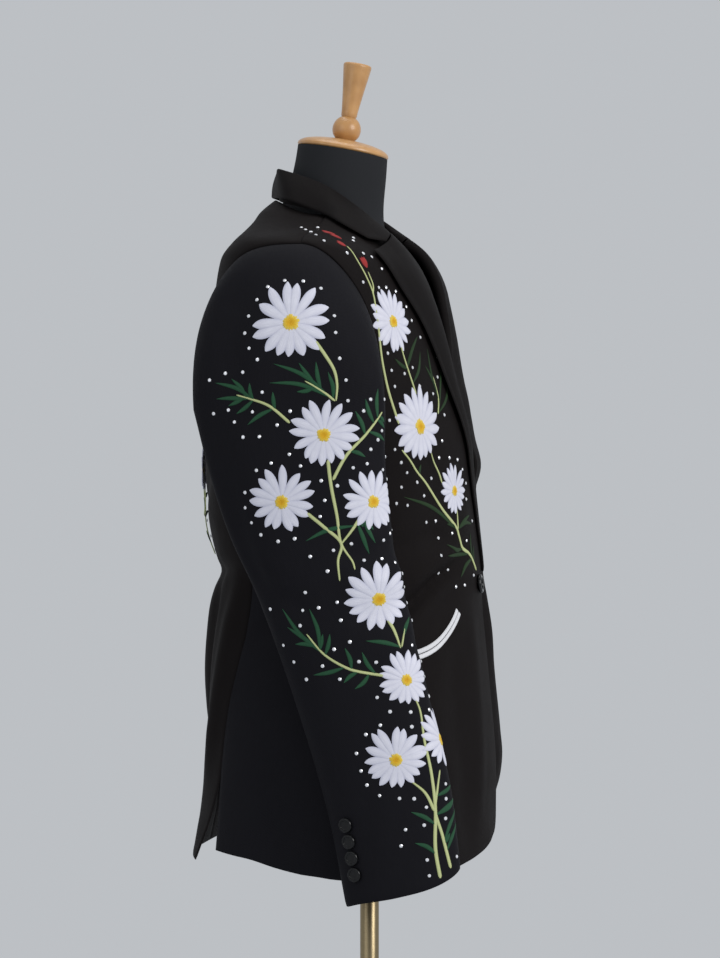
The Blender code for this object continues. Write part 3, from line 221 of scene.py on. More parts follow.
# The right sleeve's rings, from the biceps to the cuff
SleeveRing = namedtuple("SleeveRing", "outer_x outer_z inner_x inner_z middle_y half_width slope")
SLEEVE_RINGS = rows_of(SleeveRing, [
    (-0.2820, 1.3000, -0.2145, 1.2300, 0.035, 0.0930, 0.00),
    (-0.2825, 1.2300, -0.2140, 1.2000, 0.030, 0.0880, 0.00),
    (-0.2810, 1.1500, -0.2130, 1.1400, 0.015, 0.0800, 0.02),
    (-0.2790, 1.0800, -0.2125, 1.0780, -0.008, 0.0710, 0.05),
    (-0.2780, 0.9850, -0.2130, 0.9850, -0.036, 0.0635, 0.12),
    (-0.2780, 0.8900, -0.2160, 0.8900, -0.0625, 0.0590, 0.25),
    (-0.2770, 0.8030, -0.2170, 0.8030, -0.077, 0.0550, 0.36),
])
# How far the curves of the sleeve head run straight out of the armhole, and straight down at the biceps
HEAD_REACH = 1.05
HEAD_DROP = 0.95
HEAD_SPREAD = 0.30
HEAD_FALL = -0.22
SLEEVE_ROUND = 0.90
SLEEVE_START_INSET = 0.0016
SLEEVE_SEAM_GAP = 0.00002
# The left sleeve hangs further back: how far at the cuff, and where the swing starts
LEFT_SLEEVE_SWING = 0.042
SWING_TOP = 1.33
SWING_HEIGHT = 0.53

# Pockets, buttons and their places
POCKET_MIDDLE_TURN = 60.0
POCKET_LOW_RISE = 1.021
POCKET_RADIUS = 0.126
POCKET_FRONT_ANGLE = 49.0
POCKET_BACK_ANGLE = 22.0
WELT_WIDTH = 0.0046
WELT_SLIT = 0.0007
WELT_DOME = 0.0003
FRONT_BUTTON_RADIUS = 0.0100
FRONT_BUTTON_THICK = 0.0040
BUTTON_SEAT = 0.0005
CUFF_BUTTON_RADIUS = 0.0074
CUFF_BUTTON_THICK = 0.0032
CUFF_BUTTON_SEAT = 0.0002
CUFF_BUTTON_COUNT = 4
CUFF_BUTTON_PITCH = 0.0161
CUFF_BUTTON_LOWEST = 0.027
CUFF_BUTTON_ANGLE = -41.0

# The form's rings, and the outlines of what is turned, as a radius and a height
FORM_RISES = [0.874, 0.94, 1.02, 1.09, 1.16, 1.23, 1.30, 1.36]
FORM_RISES += [1.40, 1.42, 1.435, 1.447, 1.462, 1.49, 1.53, 1.575]
FORM_BOTTOM_EDGE = 0.006
FORM_BOTTOM_SHARE = 0.96
FORM_MIDDLE_Y = 0.016
Outline = namedtuple("Outline", "radius height")
CAP_HEIGHT = 0.0128
CAP_OUTLINE = rows_of(Outline, [
    (0.0, 0.0), (0.0475, 0.0), (0.0490, 0.0015), (0.0485, 0.0040), (0.0440, 0.0075), (0.0340, 0.0105),
    (0.0200, 0.0124), (0.0, CAP_HEIGHT),
])
FINIAL_FOOT_RADIUS = 0.0098
FINIAL_BALL_RADIUS = 0.0152
FINIAL_BALL_HEIGHT = 0.0116
FINIAL_NECK_OUTLINE = rows_of(Outline, [
    (0.0084, 0.0262), (0.0088, 0.0320), (0.0118, 0.0560), (0.0150, 0.0790), (0.0146, 0.0812),
    (0.0120, 0.0822), (0.0, 0.0826),
])
SOCKET_HEIGHT = 0.050
BASE_OUTLINE = rows_of(Outline, [
    (0.0, 0.0), (BASE_RADIUS, 0.0), (BASE_RADIUS, BASE_THICK * 0.5),
    (BASE_RADIUS - 0.004, BASE_THICK * 0.85), (BASE_RADIUS - 0.012, BASE_THICK),
    (0.026, BASE_THICK + 0.003), (0.021, BASE_THICK + 0.006), (0.018, SOCKET_HEIGHT - 0.005),
    (0.015, SOCKET_HEIGHT), (0.0, SOCKET_HEIGHT),
])
# A button's outline: shares of its radius and of its thickness
BUTTON_OUTLINE = rows_of(Outline, [
    (0.0, 0.0), (0.86, 0.0), (1.0, 0.40), (0.90, 1.0), (0.70, 1.0), (0.58, 0.70), (0.0, 0.70),
])

# Finer meshes of the same surfaces
SIDE_SEAM_STEPS = 120
FRONT_SCYE_STEPS = 36
SIDE_SCYE_STEPS = 24
BACK_SCYE_STEPS = 42
BACK_NECK_STEPS = 24
SLEEVE_BACK_STEPS = 14
FRONT_COLUMNS = 80
EDGE_POINTS = 60
ROLL_LINE_POINTS = 40
NECK_POINTS = 20
HEM_POINTS = 40
BACK_COLUMNS = 48
HEAD_ROWS = 34
ARM_ROWS = 96
LAPEL_COUNT = 90
LAPEL_ROLL_POINTS = 11
LAPEL_OUT_POINTS = 30
LAPEL_NOTCH_POINT = 20
COLLAR_STAND_POINTS = 8
COLLAR_ROUND_POINTS = 11
COLLAR_LEAF_POINTS = 20
COLLAR_NOTCH_POINT = 12
COLLAR_HALF_ROWS = 60
WELT_POINTS = 61
WELT_ACROSS = 7
FORM_STEPS = 96
FORM_ROWS_BETWEEN = 4
NECK_ROWS = 17
CAP_STEPS, CAP_FINENESS = 96, 0.002
FINIAL_STEPS, FINIAL_FINENESS = 64, 0.003
BASE_STEPS, BASE_FINENESS = 144, 0.006
BUTTON_STEPS, BUTTON_FINENESS = 64, 0.05
POLE_STEPS, POLE_EDGE = 48, 0.0006
# Spans, as a first value, a last value and a count
BALL_ANGLES = (62, 150, 19)
GIRTH_TURNS = (5.0, 125.0, 241)
ROLL_SAMPLES = 41
CUFF_FRAME_ANGLES = np.array([-3.0, 0.0, 3.0])
CUFF_FRAME_ROWS = (10, 160)

# Creases finer than the solids' folds, mirrored on both sides: how wide each is, how far it goes in
# (or, below 0, stands out), and its line. The body's lines are turns and rises, the right sleeve's
# are points in space.
Crease = namedtuple("Crease", "width depth line")
CREASE_REACH = 3.0
CREASE_END_FADE = 0.28
BODY_CREASES = [
    Crease(0.0085, 0.0095, [(12, 1.122), (36, 1.096), (50, 1.074), (72, 1.036)]),
    Crease(0.009, -0.0040, [(14, 1.138), (36, 1.115), (60, 1.083)]),
    Crease(0.009, 0.0026, [(64, 1.124), (46, 1.138), (24, 1.148)]),
    Crease(0.011, 0.0024, [(62, 1.190), (44, 1.206), (24, 1.222)]),
    Crease(0.016, -0.0026, [(13, 1.09), (15, 0.94), (16, 0.82)]),
    Crease(0.018, 0.0030, [(29, 1.06), (28, 0.93), (27, 0.82)]),
    Crease(0.020, -0.0028, [(47, 1.02), (45, 0.93), (43, 0.82)]),
    Crease(0.020, 0.0015, [(205, 1.145), (159, 1.145), (140, 1.145), (122, 1.150)]),
    Crease(0.009, 0.0055, [(205, 1.106), (150, 1.102), (136, 1.108), (116, 1.114)]),
    Crease(0.014, -0.0062, [(118, 1.130), (127, 1.050), (131, 1.000), (138, 0.950), (150, 0.870)]),
    Crease(0.014, 0.0070, [(143, 1.125), (149, 1.040), (153, 0.970), (162, 0.890)]),
    Crease(0.018, 0.0030, [(150, 1.42), (152, 1.30), (150, 1.17)]),
    Crease(0.018, -0.0026, [(141, 1.38), (140, 1.30), (140, 1.21)]),
    Crease(0.010, 0.0022, [(134, 1.225), (160, 1.175), (205, 1.160)]),
    Crease(0.010, 0.0015, [(205, 1.50), (165, 1.50), (140, 1.50)]),
    Crease(0.011, 0.0040, [(72, 1.11), (98, 1.06), (121, 1.030)]),
    Crease(0.009, 0.0020, [(68, 1.155), (95, 1.130), (112, 1.122)]),
    Crease(0.020, -0.0018, [(33, 0.94), (31, 0.86), (30, 0.78)]),
    Crease(0.022, -0.0020, [(80, 0.96), (82, 0.87), (84, 0.78)]),
    Crease(0.020, 0.0018, [(100, 0.96), (99, 0.87), (98, 0.78)]),
    Crease(0.022, -0.0020, [(152, 0.94), (153, 0.86), (154, 0.78)]),
    Crease(0.022, 0.0022, [(168, 0.96), (169, 0.87), (170, 0.78)]),
    Crease(0.030, -0.0028, [(205, 1.556), (150, 1.556), (105, 1.556)]),
]
SLEEVE_CREASES = [
    Crease(0.011, 0.0042, [(-0.235, -0.092, 1.090), (-0.268, -0.062, 1.075), (-0.279, -0.020, 1.062)]),
    Crease(0.012, 0.0034, [(-0.235, -0.080, 1.132), (-0.270, -0.050, 1.128), (-0.280, -0.008, 1.131)]),
    Crease(0.011, 0.0036, [(-0.235, -0.100, 1.046), (-0.270, -0.072, 1.028), (-0.278, -0.030, 1.004)]),
    Crease(0.012, -0.0026, [(-0.240, -0.088, 1.110), (-0.272, -0.054, 1.101), (-0.280, -0.010, 1.098)]),
    Crease(0.020, 0.0050, [(-0.258, 0.085, 1.430), (-0.272, 0.088, 1.330), (-0.274, 0.076, 1.230)]),
    Crease(0.016, 0.0056, [(-0.260, 0.108, 1.310), (-0.268, 0.090, 1.180), (-0.271, 0.062, 1.060)]),
    Crease(0.012, 0.0032, [(-0.262, 0.083, 1.120), (-0.279, 0.045, 1.085), (-0.281, 0.000, 1.070)]),
    Crease(0.012, -0.0015, [(-0.278, -0.068, 0.920), (-0.278, -0.058, 0.830)]),
    Crease(
        0.030,
        -0.0035,
        [(-0.230, 0.112, 1.450), (-0.245, 0.126, 1.360), (-0.248, 0.128, 1.300), (-0.248, 0.124, 1.220)],
    ),
]
# The cuff's edge hangs lower a little ahead of its outer side
CUFF_SAG = 0.0085
CUFF_SAG_START = 0.82
CUFF_SAG_ANGLE = 30.0
CUFF_SAG_SPREAD = 85.0

# Where the left lapel's roll swells outward, or sinks in where depth is negative
Swell = namedtuple("Swell", "rise spread depth")
ROLL_SWELLS = [Swell(1.214, 0.026, 0.0105), Swell(1.322, 0.032, -0.0050)]
ROLL_BULGE_ENDS_ACROSS = Fade(0.020, 0.050)

# How a cloth edge is turned in at a seam, and the cloth's charts
EDGE_ROUND = 0.0006
EDGE_THIN = 0.55
CHART_STEP = 0.003

# The columns of a piece's flat cut: its greatest width and length, and its area
Cut = namedtuple("Cut", "width length area")

# The photograph's camera: its distance from the pole's axis, height, and turn ahead of the wearer's side
PHOTO_WIDTH, PHOTO_HEIGHT = 720, 958
AXIS_PIXEL = 369.5
FOCAL_PIXELS = 2820.0
SENSOR = 36.0
VIEW_DISTANCE = 3.0
VIEW_HEIGHT = 1.200
VIEW_YAW = 10.0

# The studio: its backdrop's colour, its floor and its lamps' places, aims, sizes and powers
BACKDROP = (0.507, 0.527, 0.553)
FLOOR_RADIUS = 2.6
FLOOR_COLOUR, FLOOR_ROUGHNESS = (0.55, 0.57, 0.60), 0.7
LAMPS = [
    ("window", (-1.6, -2.8, 2.4), (0.0, 0.0, 1.15), 1.8, 62.0, (1.0, 0.99, 0.98)),
    ("fill", (-2.8, 1.8, 2.2), (0.0, 0.0, 1.15), 2.4, 12.0, (0.95, 0.97, 1.0)),
    ("top", (0.2, 0.0, 3.6), (0.0, 0.0, 1.2), 1.6, 16.0, (1.0, 1.0, 1.0)),
]

# Relief of the cloths
TWILL_PER_METRE = 230.0
CLOTH_SHINE = 0.04
TWILL_SLANT = -58
GRAIN_SCALE = (9.0, 70.0, 40.0)
ClothLook = namedtuple("ClothLook", "material dark light roughness")
# Copies of one black cloth: the suiting's brown tint is painted warm light, the sleeve look's blue tint
# painted cool light
CLOTH_LOOKS = {
    "suiting": ClothLook("suiting", (0.0068, 0.0056, 0.0056), (0.0124, 0.0102, 0.0102), 0.62),
    "sleeve": ClothLook("sleeve_suiting", (0.0072, 0.0070, 0.0086), (0.0130, 0.0126, 0.0156), 0.64),
    # The lapel look is a darker copy of the suiting: painted shade
    "lapel": ClothLook("lapel_suiting", (0.0062, 0.0053, 0.0053), (0.0112, 0.0095, 0.0095), 0.58),
}
# Threads: their dark and light colours, the colour of a shape's sides, which is painted shade, and their
# ridges' closeness
THREAD_ROUGHNESS = 0.6
ThreadLook = namedtuple("ThreadLook", "dark light edge ways shine", defaults=(0.25,))
# The petals' white thread has a lavender-blue tint: painted cool light
PETAL_LOOK = ThreadLook((0.52, 0.52, 0.62), (0.80, 0.80, 0.87), (0.42, 0.43, 0.55), (70.0, 1500.0, 1.0))
STEM_LOOK = ThreadLook((0.40, 0.44, 0.19), (0.60, 0.64, 0.33), (0.20, 0.25, 0.08), (1300.0, 160.0, 1.0))
BUD_LOOK = ThreadLook((0.22, 0.014, 0.014), (0.40, 0.030, 0.028), (0.11, 0.007, 0.007), (200.0, 1200.0, 1.0))
LEAF_WAYS = (900.0, 500.0, 1.0)
LEAF_LOOK = ThreadLook((0.012, 0.050, 0.024), (0.030, 0.105, 0.052), (0.006, 0.028, 0.012), LEAF_WAYS, 0.12)
DIM_LEAF_LOOK = ThreadLook(
    (0.014, 0.030, 0.012), (0.030, 0.060, 0.026), (0.008, 0.018, 0.007), LEAF_WAYS, 0.10
)
EYE_COLOURS = [
    (0.0, (0.70, 0.37, 0.010)),
    (0.35, (0.76, 0.42, 0.014)),
    (0.62, (0.78, 0.50, 0.035)),
    (1.0, (0.78, 0.62, 0.13)),
]

# Embroidery: relief over the cloth, and how its parts are drawn
STITCH_BASE = 0.0002
STITCH_SINK = 0.0002
STITCH_STEP = 0.002
PETALS = 16
PETAL_ROWS = 13
PETAL_RELIEF = 0.0005
PETAL_OVERLAP = 0.0004
STEM_RELIEF = 0.0005
LEAF_RELIEF = 0.0004
LEAF_HALF_WIDTH = 0.0022
LEAF_SLANT = 0.75
PETAL_OUTLINE = [(0.0, 0.05), (0.25, 0.098), (0.5, 0.130), (0.7, 0.136), (0.84, 0.108)]
PETAL_OUTLINE += [(0.94, 0.062), (1.0, 0.016)]
PETAL_UPWARD = 0.10
LEAF_OUTLINE = [(0.0, 0.25), (0.25, 0.80), (0.50, 1.00), (0.80, 0.65), (1.0, 0.08)]
EYE_OUTLINE = [(0.185, -0.0002), (0.198, 0.0008), (0.168, 0.0013)]
EYE_OUTLINE += [(0.115, 0.0016), (0.055, 0.0014), (0.018, 0.0012)]
EYE_RAGGED = 0.17
STONE_OUTLINE = [(0.90, -0.10), (1.00, 0.20), (0.97, 0.34), (0.55, 0.66)]
EYE_STEPS = 48
PETAL_ACROSS = 7
BAND_ACROSS = 5
PETAL_START = 0.10
PETAL_BEND = 0.10
PETAL_UNEVEN = 0.16
PETAL_LENGTHS = (0.93, 1.04)
PETAL_WIDTHS = (0.90, 1.08)
STEM_END_WIDTH = 0.4
LEAF_CURVE = 0.10
BUD_TURNS = (-0.35, 0.0, 0.35)
BUD_WIDTH = 0.26
BUD_CLEAR = 1.2
STONE_SIDES = 8
STONE_SIZES = (0.92, 1.08)
TAKEN_STEP = 3
SHARP_STONE_ANGLE, SOFT_THREAD_ANGLE = 25.0, 60.0
SEEN_ROUNDS, SEEN_CUTOFF = 4, 0.02
SLEEVE_SEED, FRONT_SEED, BACK_SEED = 11, 21, 31
SLEEVE_CHART_ANGLES = (-165.0, 165.0, 133)
BODY_CHART_TURNS = (180.0, -12.0, 193)
# Where stones may lie on each chart: its lowest and its highest (round, up) place
SLEEVE_STONE_AREA = ((-0.12, 0.012), (0.13, 0.62))
FRONT_STONE_AREA = ((-0.24, 1.02), (-0.02, 1.56))
BACK_STONE_AREA = ((-0.60, 1.08), (-0.30, 1.47))
CLEAR_STEP = 3
STONE_RADIUS = 0.0018
STONE_PITCH = 0.0172
STONE_RING = 0.0065
STONE_BESIDE = 0.0105
STONE_APART = 0.0142
STONE_KEEPS_OFF = 0.0090
STONE_JITTER = 0.0020
STONE_CLEAR = 0.0040
STONE_REACH = 0.0170
THREADS = {
    "petal": "petal_thread",
    "centre": "centre_thread",
    "stem": "stem_thread",
    "leaf": "leaf_thread",
    "bud": "bud_thread",
    "stone": "stone",
}

# Where the photograph shows the embroidery: pixels across and down, with sizes in metres
Daisy = namedtuple("Daisy", "across down radius")
Branch = namedtuple("Branch", "width route leaf_tips", defaults=((),))
Bud = namedtuple("Bud", "across down length angle")
SLEEVE_DAISIES = rows_of(Daisy, [
    (291, 323, 0.0395), (324, 435, 0.0330), (282, 502, 0.0325), (373, 502, 0.0300), (379, 599, 0.0345),
    (406, 680, 0.0270), (396, 760, 0.0305), (446, 738, 0.0290),
])
SLEEVE_BRANCHES = [
    Branch(0.0034, [(315, 341), (325, 355), (334, 370), (337, 384), (336, 401)]),
    Branch(
        0.0026,
        [(335, 401), (322, 391), (305, 381)],
        [(274, 364), (299, 363), (316, 362), (328, 372), (270, 383), (297, 392)],
    ),
    Branch(
        0.0030,
        [(290, 423), (271, 407), (254, 400), (237, 395)],
        [
            (216, 383), (232, 379), (250, 383), (273, 392), (217, 399), (229, 406), (237, 414),
            (248, 425),
        ],
    ),
    Branch(
        0.0032,
        [(333, 480), (346, 456), (365, 435), (381, 412)],
        [(355, 411), (365, 399), (377, 389), (383, 422), (383, 428), (383, 441), (365, 457)],
    ),
    Branch(0.0034, [(328, 460), (331, 485), (337, 516), (341, 543), (352, 561), (355, 570)]),
    Branch(0.0034, [(307, 513), (324, 527), (341, 543), (338, 561), (340, 581)]),
    Branch(
        0.0032,
        [(363, 513), (352, 530), (341, 544)],
        [(306, 541), (363, 527), (373, 530), (375, 543), (369, 554)],
    ),
    Branch(0.0032, [(387, 619), (394, 631), (400, 648)]),
    Branch(0.0022, [(401, 647), (404, 627)], [(366, 641), (408, 617)]),
    Branch(
        0.0030,
        [(385, 676), (366, 673), (347, 668), (324, 654), (307, 634)],
        [
            (283, 609), (310, 609), (323, 634), (330, 634), (345, 648), (362, 652), (288, 627),
            (296, 644), (314, 675), (344, 683), (355, 689),
        ],
    ),
    Branch(
        0.0036,
        [(440, 878), (435, 847), (435, 811), (431, 774), (424, 741), (420, 713), (415, 699)],
        [(411, 812), (415, 843)],
    ),
    Branch(
        0.0034,
        [(450, 868), (442, 836), (435, 811), (437, 788), (439, 770)],
        [(452, 798), (449, 785), (455, 797), (457, 810), (456, 823), (449, 833)],
    ),
    Branch(0.0032, [(434, 811), (425, 793), (411, 781)]),
]
FRONT_DAISIES = [Daisy(392, 322, 0.0330), Daisy(419, 427, 0.0385), Daisy(453, 491, 0.0265)]
FRONT_BRANCHES = [
    Branch(
        0.0030,
        [
            (398, 424), (391, 402), (386, 384), (381, 358), (378, 331), (376, 316), (372, 293),
            (365, 276), (356, 260), (346, 247),
        ],
    ),
    Branch(0.0022, [(372, 295), (372, 285), (367, 272)]),
    Branch(
        0.0026,
        [(415, 394), (403, 357), (396, 330)],
        [(394, 359), (416, 337), (412, 350), (419, 352)],
    ),
    Branch(
        0.0038,
        [
            (475, 570), (469, 555), (461, 547), (458, 536), (455, 527), (442, 510), (430, 491),
            (415, 470), (401, 450),
        ],
        [(420, 464), (446, 545), (447, 556), (460, 577), (469, 533), (472, 546)],
    ),
    Branch(0.0026, [(441, 483), (437, 471), (430, 452)]),
    Branch(0.0020, [(456, 530), (453, 525)], [(403, 497)]),
    Branch(0.0026, [(457, 529), (456, 510)], [(468, 515), (470, 524), (446, 524)]),
    Branch(
        0.0022,
        [(437, 414), (437, 397), (432, 377)],
        [(426, 349), (441, 352), (424, 366), (446, 370)],
    ),
]
BUDS = rows_of(Bud, [
    (334, 235, 0.0125, 165.0), (341, 240, 0.0120, 130.0), (345, 247, 0.0100, 140.0),
    (366, 268, 0.0125, 115.0),
])
# On the left front the spray lies further from the edge
LEFT_SPRAY_SHIFT = np.array([-0.016, 0.0])
# The back's spray, which the photograph hardly shows: turns and rises, with sizes in metres
BACK_DAISIES = [Daisy(167, 1.345, 0.0340), Daisy(173, 1.268, 0.0280), Daisy(174, 1.208, 0.0240)]
BACK_BRANCHES = [
    Branch(
        0.0034,
        [(172, 1.120), (173, 1.150), (174, 1.185), (175, 1.225), (173, 1.300)],
        [(169, 1.145), (177, 1.165), (178, 1.185)],
    ),
    Branch(0.0028, [(173, 1.160), (166, 1.166), (159.5, 1.188)], [(167, 1.180)]),
    Branch(
        0.0028,
        [(168, 1.375), (166, 1.400), (162, 1.425), (156, 1.440)],
        [(174, 1.405), (163, 1.395), (168, 1.430), (158, 1.425)],
    ),
]
BACK_BUDS = [Bud(153, 1.447, 0.0110, 150.0), Bud(158, 1.452, 0.0105, 110.0)]
BACK_STONES_WITHIN = 0.030


def smooth_rows(rows, at):
    """Columns of the rows at these values of the first column, on a smooth curve through the rows."""
    table = np.array(rows, float)
    knots, values = table[:, 0], table[:, 1:]
    slopes = np.empty_like(values)
    slopes[1:-1] = (values[2:] - values[:-2]) / (knots[2:] - knots[:-2])[:, None]
    slopes[0] = (values[1] - values[0]) / (knots[1] - knots[0])
    slopes[-1] = (values[-1] - values[-2]) / (knots[-1] - knots[-2])
    at = np.clip(np.asarray(at, float), knots[0], knots[-1])
    i = np.clip(np.searchsorted(knots, at, side="right") - 1, 0, len(knots) - 2)
    step = knots[i + 1] - knots[i]
    t = ((at - knots[i]) / step)[..., None]
    step = step[..., None]
    return (
        (2 * t**3 - 3 * t**2 + 1) * values[i]
        + (t**3 - 2 * t**2 + t) * step * slopes[i]
        + (3 * t**2 - 2 * t**3) * values[i + 1]
        + (t**3 - t**2) * step * slopes[i + 1]
    )


def unit(vectors):
    length = np.linalg.norm(vectors, axis=-1, keepdims=True)
    return vectors / np.maximum(length, 1e-12)


def smooth_step(value):
    value = np.clip(value, 0.0, 1.0)
    return value * value * (3 - 2 * value)


def growing(values, fade):
    """0 before the fade's start, 1 past its length, and smooth between them."""
    return smooth_step((values - fade.start) / fade.length)


def body_base(turn, rise):
    """The body's surface without folds. A positive turn goes from the front middle to the wearer's right."""
    turn, rise = np.broadcast_arrays(np.asarray(turn, float), np.asarray(rise, float))
    row = smooth_rows(JACKET_RINGS, rise)
    front_y, front_z, side_x, side_y, side_z = np.moveaxis(row[..., :5], -1, 0)
    back_y, back_z, front_round, back_round = np.moveaxis(row[..., 5:], -1, 0)
    sine, cosine = np.sin(np.radians(turn)), np.cos(np.radians(turn))
    ahead = cosine >= 0
    roundness = np.where(ahead, front_round, back_round)
    across = np.sign(sine) * np.abs(sine) ** roundness
    along = np.abs(cosine) ** roundness
    x = -side_x * across
    y = side_y + (np.where(ahead, front_y, back_y) - side_y) * along
    z = side_z + (np.where(ahead, front_z, back_z) - side_z) * cosine**2
    return np.stack([x, y, z], axis=-1)


def body_normal(turn, rise):
    """The body's outward direction, from small steps round and up."""
    turn, rise = np.asarray(turn, float), np.asarray(rise, float)
    round_step, rise_step = 0.4, 0.002
    around = body_base(turn + round_step, rise) - body_base(turn - round_step, rise)
    low = np.clip(rise - rise_step, HEM_RISE, NECK_RISE - rise_step)
    up = body_base(turn, low + rise_step) - body_base(turn, low)
    return unit(np.cross(up, around))


def fold_depth(points):
    """How far the folds draw these points of the body inwards."""
    depth = np.zeros(points.shape[:-1])
    for fold in FOLDS:
        start, end = np.array(fold.start), np.array(fold.end)
        length = np.linalg.norm(end - start)
        share = ((points - start) @ (end - start)) / length**2
        nearest = start + np.clip(share, 0, 1)[..., None] * (end - start)
        away = np.linalg.norm((points - nearest) * np.array(FOLD_STRETCH), axis=-1)
        ends = smooth_step(1.0 - np.abs(np.clip(share, 0, 1) - 0.5) * FOLD_END_FADE)
        depth += fold.depth * ends * np.exp(-((away / fold.width) ** 2))
    return depth


def crease_depth(points, creases):
    """How far creases, whose lines are points in space, draw these points of the cloth inwards."""
    depth = np.zeros(points.shape[:-1])
    for width, deep, line in creases:
        reach = CREASE_REACH * width
        near = ((points > line.min(axis=0) - reach) & (points < line.max(axis=0) + reach)).all(axis=-1)
        if near.any():
            away, passed = off_line(points[near], line)
            ends = smooth_step(np.minimum(passed, 1.0 - passed) / CREASE_END_FADE)
            depth[near] += deep * ends * np.exp(-((away / width) ** 2))
    return depth


def off_line(points, line):
    """How far points lie from a line, and how much of the line lies before the place nearest them."""
    lengths = np.linalg.norm(np.diff(line, axis=0), axis=1)
    before = np.concatenate([[0], np.cumsum(lengths)])
    away, passed = np.full(points.shape[:-1], np.inf), np.zeros(points.shape[:-1])
    for k, length in enumerate(lengths):
        run = line[k + 1] - line[k]
        share = np.clip(((points - line[k]) @ run) / length**2, 0, 1)
        here = np.linalg.norm(points - line[k] - share[..., None] * run, axis=-1)
        passed = np.where(here < away, (before[k] + share * length) / before[-1], passed)
        away = np.minimum(here, away)
    return away, passed


@functools.cache
def body_creases():
    """The body's creases, with their lines as points in space."""
    return [(c.width, c.depth, body_base(*np.array(c.line, float).T)) for c in BODY_CREASES]


@functools.cache
def sleeve_creases():
    return [(c.width, c.depth, np.array(c.line, float)) for c in SLEEVE_CREASES]


def body_point(turn, rise, lift=0.0):
    base = body_base(turn, rise)
    out = np.asarray(lift) - fold_depth(base) - crease_depth(base, body_creases())
    return base + body_normal(turn, rise) * out[..., None]


def turn_at(rise, past_middle):
    """The turn at which the front of the ring is this far past the middle, towards the wearer's left."""
    row = smooth_rows(JACKET_RINGS, rise)
    side_x, roundness = row[..., 2], row[..., 7]
    share = np.clip(np.abs(past_middle) / side_x, 0, 1)
    return -np.sign(past_middle) * np.degrees(np.arcsin(share ** (1 / roundness)))


def edge_curve(points):
    """(turn, rise) pairs of a list of edge points."""
    return np.array([(float(turn_at(p.rise, p.past_middle)), p.rise) for p in points])


def armhole(angle):
    """(turn, rise) of the armhole. Angle 0 is the shoulder point, 90 the front, 180 the underarm."""
    angle = np.radians(np.asarray(angle, float))
    sine = np.sin(angle)
    turn = SHOULDER_TURN - np.where(sine >= 0, ARMHOLE_FRONT_TURN, ARMHOLE_BACK_TURN) * sine
    rise = ARMHOLE_MIDDLE + ARMHOLE_HALF_HEIGHT * np.cos(angle)
    return np.stack([turn, rise], axis=-1)


def armhole_angle_at_turn(turn):
    """The lower place where the armhole crosses a seam that runs up at this turn."""
    if turn < SHOULDER_TURN:
        return 180.0 - math.degrees(math.asin((SHOULDER_TURN - turn) / ARMHOLE_FRONT_TURN))
    return 180.0 + math.degrees(math.asin((turn - SHOULDER_TURN) / ARMHOLE_BACK_TURN))


def resample(curve, count):
    """The curve's points, spread evenly by length in a flat picture of turn and rise."""
    curve = np.asarray(curve, float)
    flat = curve * np.array([METRES_PER_TURN, 1.0])
    along = length_along(flat)
    at = np.linspace(0, along[-1], count)
    return np.stack([np.interp(at, along, curve[:, k]) for k in range(curve.shape[1])], axis=-1)


def smooth_curve(points, count):
    """A smooth curve through points whose second column rises, sampled count times."""
    points = np.asarray(points, float)
    rises = np.linspace(points[0, 1], points[-1, 1], count)
    turns = smooth_rows(points[:, ::-1], rises)[:, 0]
    return np.stack([turns, rises], axis=-1)


def patch(bottom, top, left, right):
    """A grid of (turn, rise) that fills four border curves. Bottom and top run from left to right."""
    u = np.linspace(0, 1, len(bottom))[None, :, None]
    v = np.linspace(0, 1, len(left))[:, None, None]
    ruled = (1 - v) * bottom[None] + v * top[None] + (1 - u) * left[:, None] + u * right[:, None]
    low_corners = (1 - u) * bottom[0] + u * bottom[-1]
    high_corners = (1 - u) * top[0] + u * top[-1]
    corners = (1 - v) * low_corners + v * high_corners
    return ruled - corners


def circle(angles):
    return np.stack([np.cos(angles), np.sin(angles)], axis=-1)


def grid_normals(grid):
    rows = np.gradient(grid, axis=0)
    columns = np.gradient(grid, axis=1)
    return unit(np.cross(rows, columns))


def mirrored(grid):
    return grid * np.array([-1.0, 1.0, 1.0])


def side_seam(seam, gap_side, low_rise=HEM_RISE):
    """(turn, rise) up a seam of the body from the hem to the armhole, half a gap to one side of it.

    A hem that is higher than the others moves only the points below the vent's top.
    """
    top = armhole_angle_at_turn(seam[-1].turn)
    rises = np.linspace(HEM_RISE, float(armhole(top)[1]), SIDE_SEAM_STEPS + 1)
    rises += (low_rise - HEM_RISE) * np.clip((VENT_TOP - rises) / (VENT_TOP - HEM_RISE), 0, 1)
    turns = smooth_rows(seam, rises)[:, 0]
    return np.stack([turns + gap_side * HALF_GAP_TURN, rises], axis=-1)


def scye_angles():
    """The armhole's angles at the points of its front, underarm and back parts."""
    front_meet = armhole_angle_at_turn(FRONT_SIDE_SEAM[-1].turn)
    back_meet = armhole_angle_at_turn(BACK_SIDE_SEAM[-1].turn)
    front = np.linspace(0.0, front_meet, FRONT_SCYE_STEPS + 1)
    under = np.linspace(front_meet, back_meet, SIDE_SCYE_STEPS + 1)
    back = np.linspace(back_meet, 360.0, BACK_SCYE_STEPS + 1)
    return front, under, back


def middle_turn(metres):
    """The turn at which the back of the waist's ring lies this far from the middle seam."""
    waist = JACKET_RINGS[4]
    return 180.0 - math.degrees(math.asin((metres / waist.side_x) ** (1 / waist.back_round)))


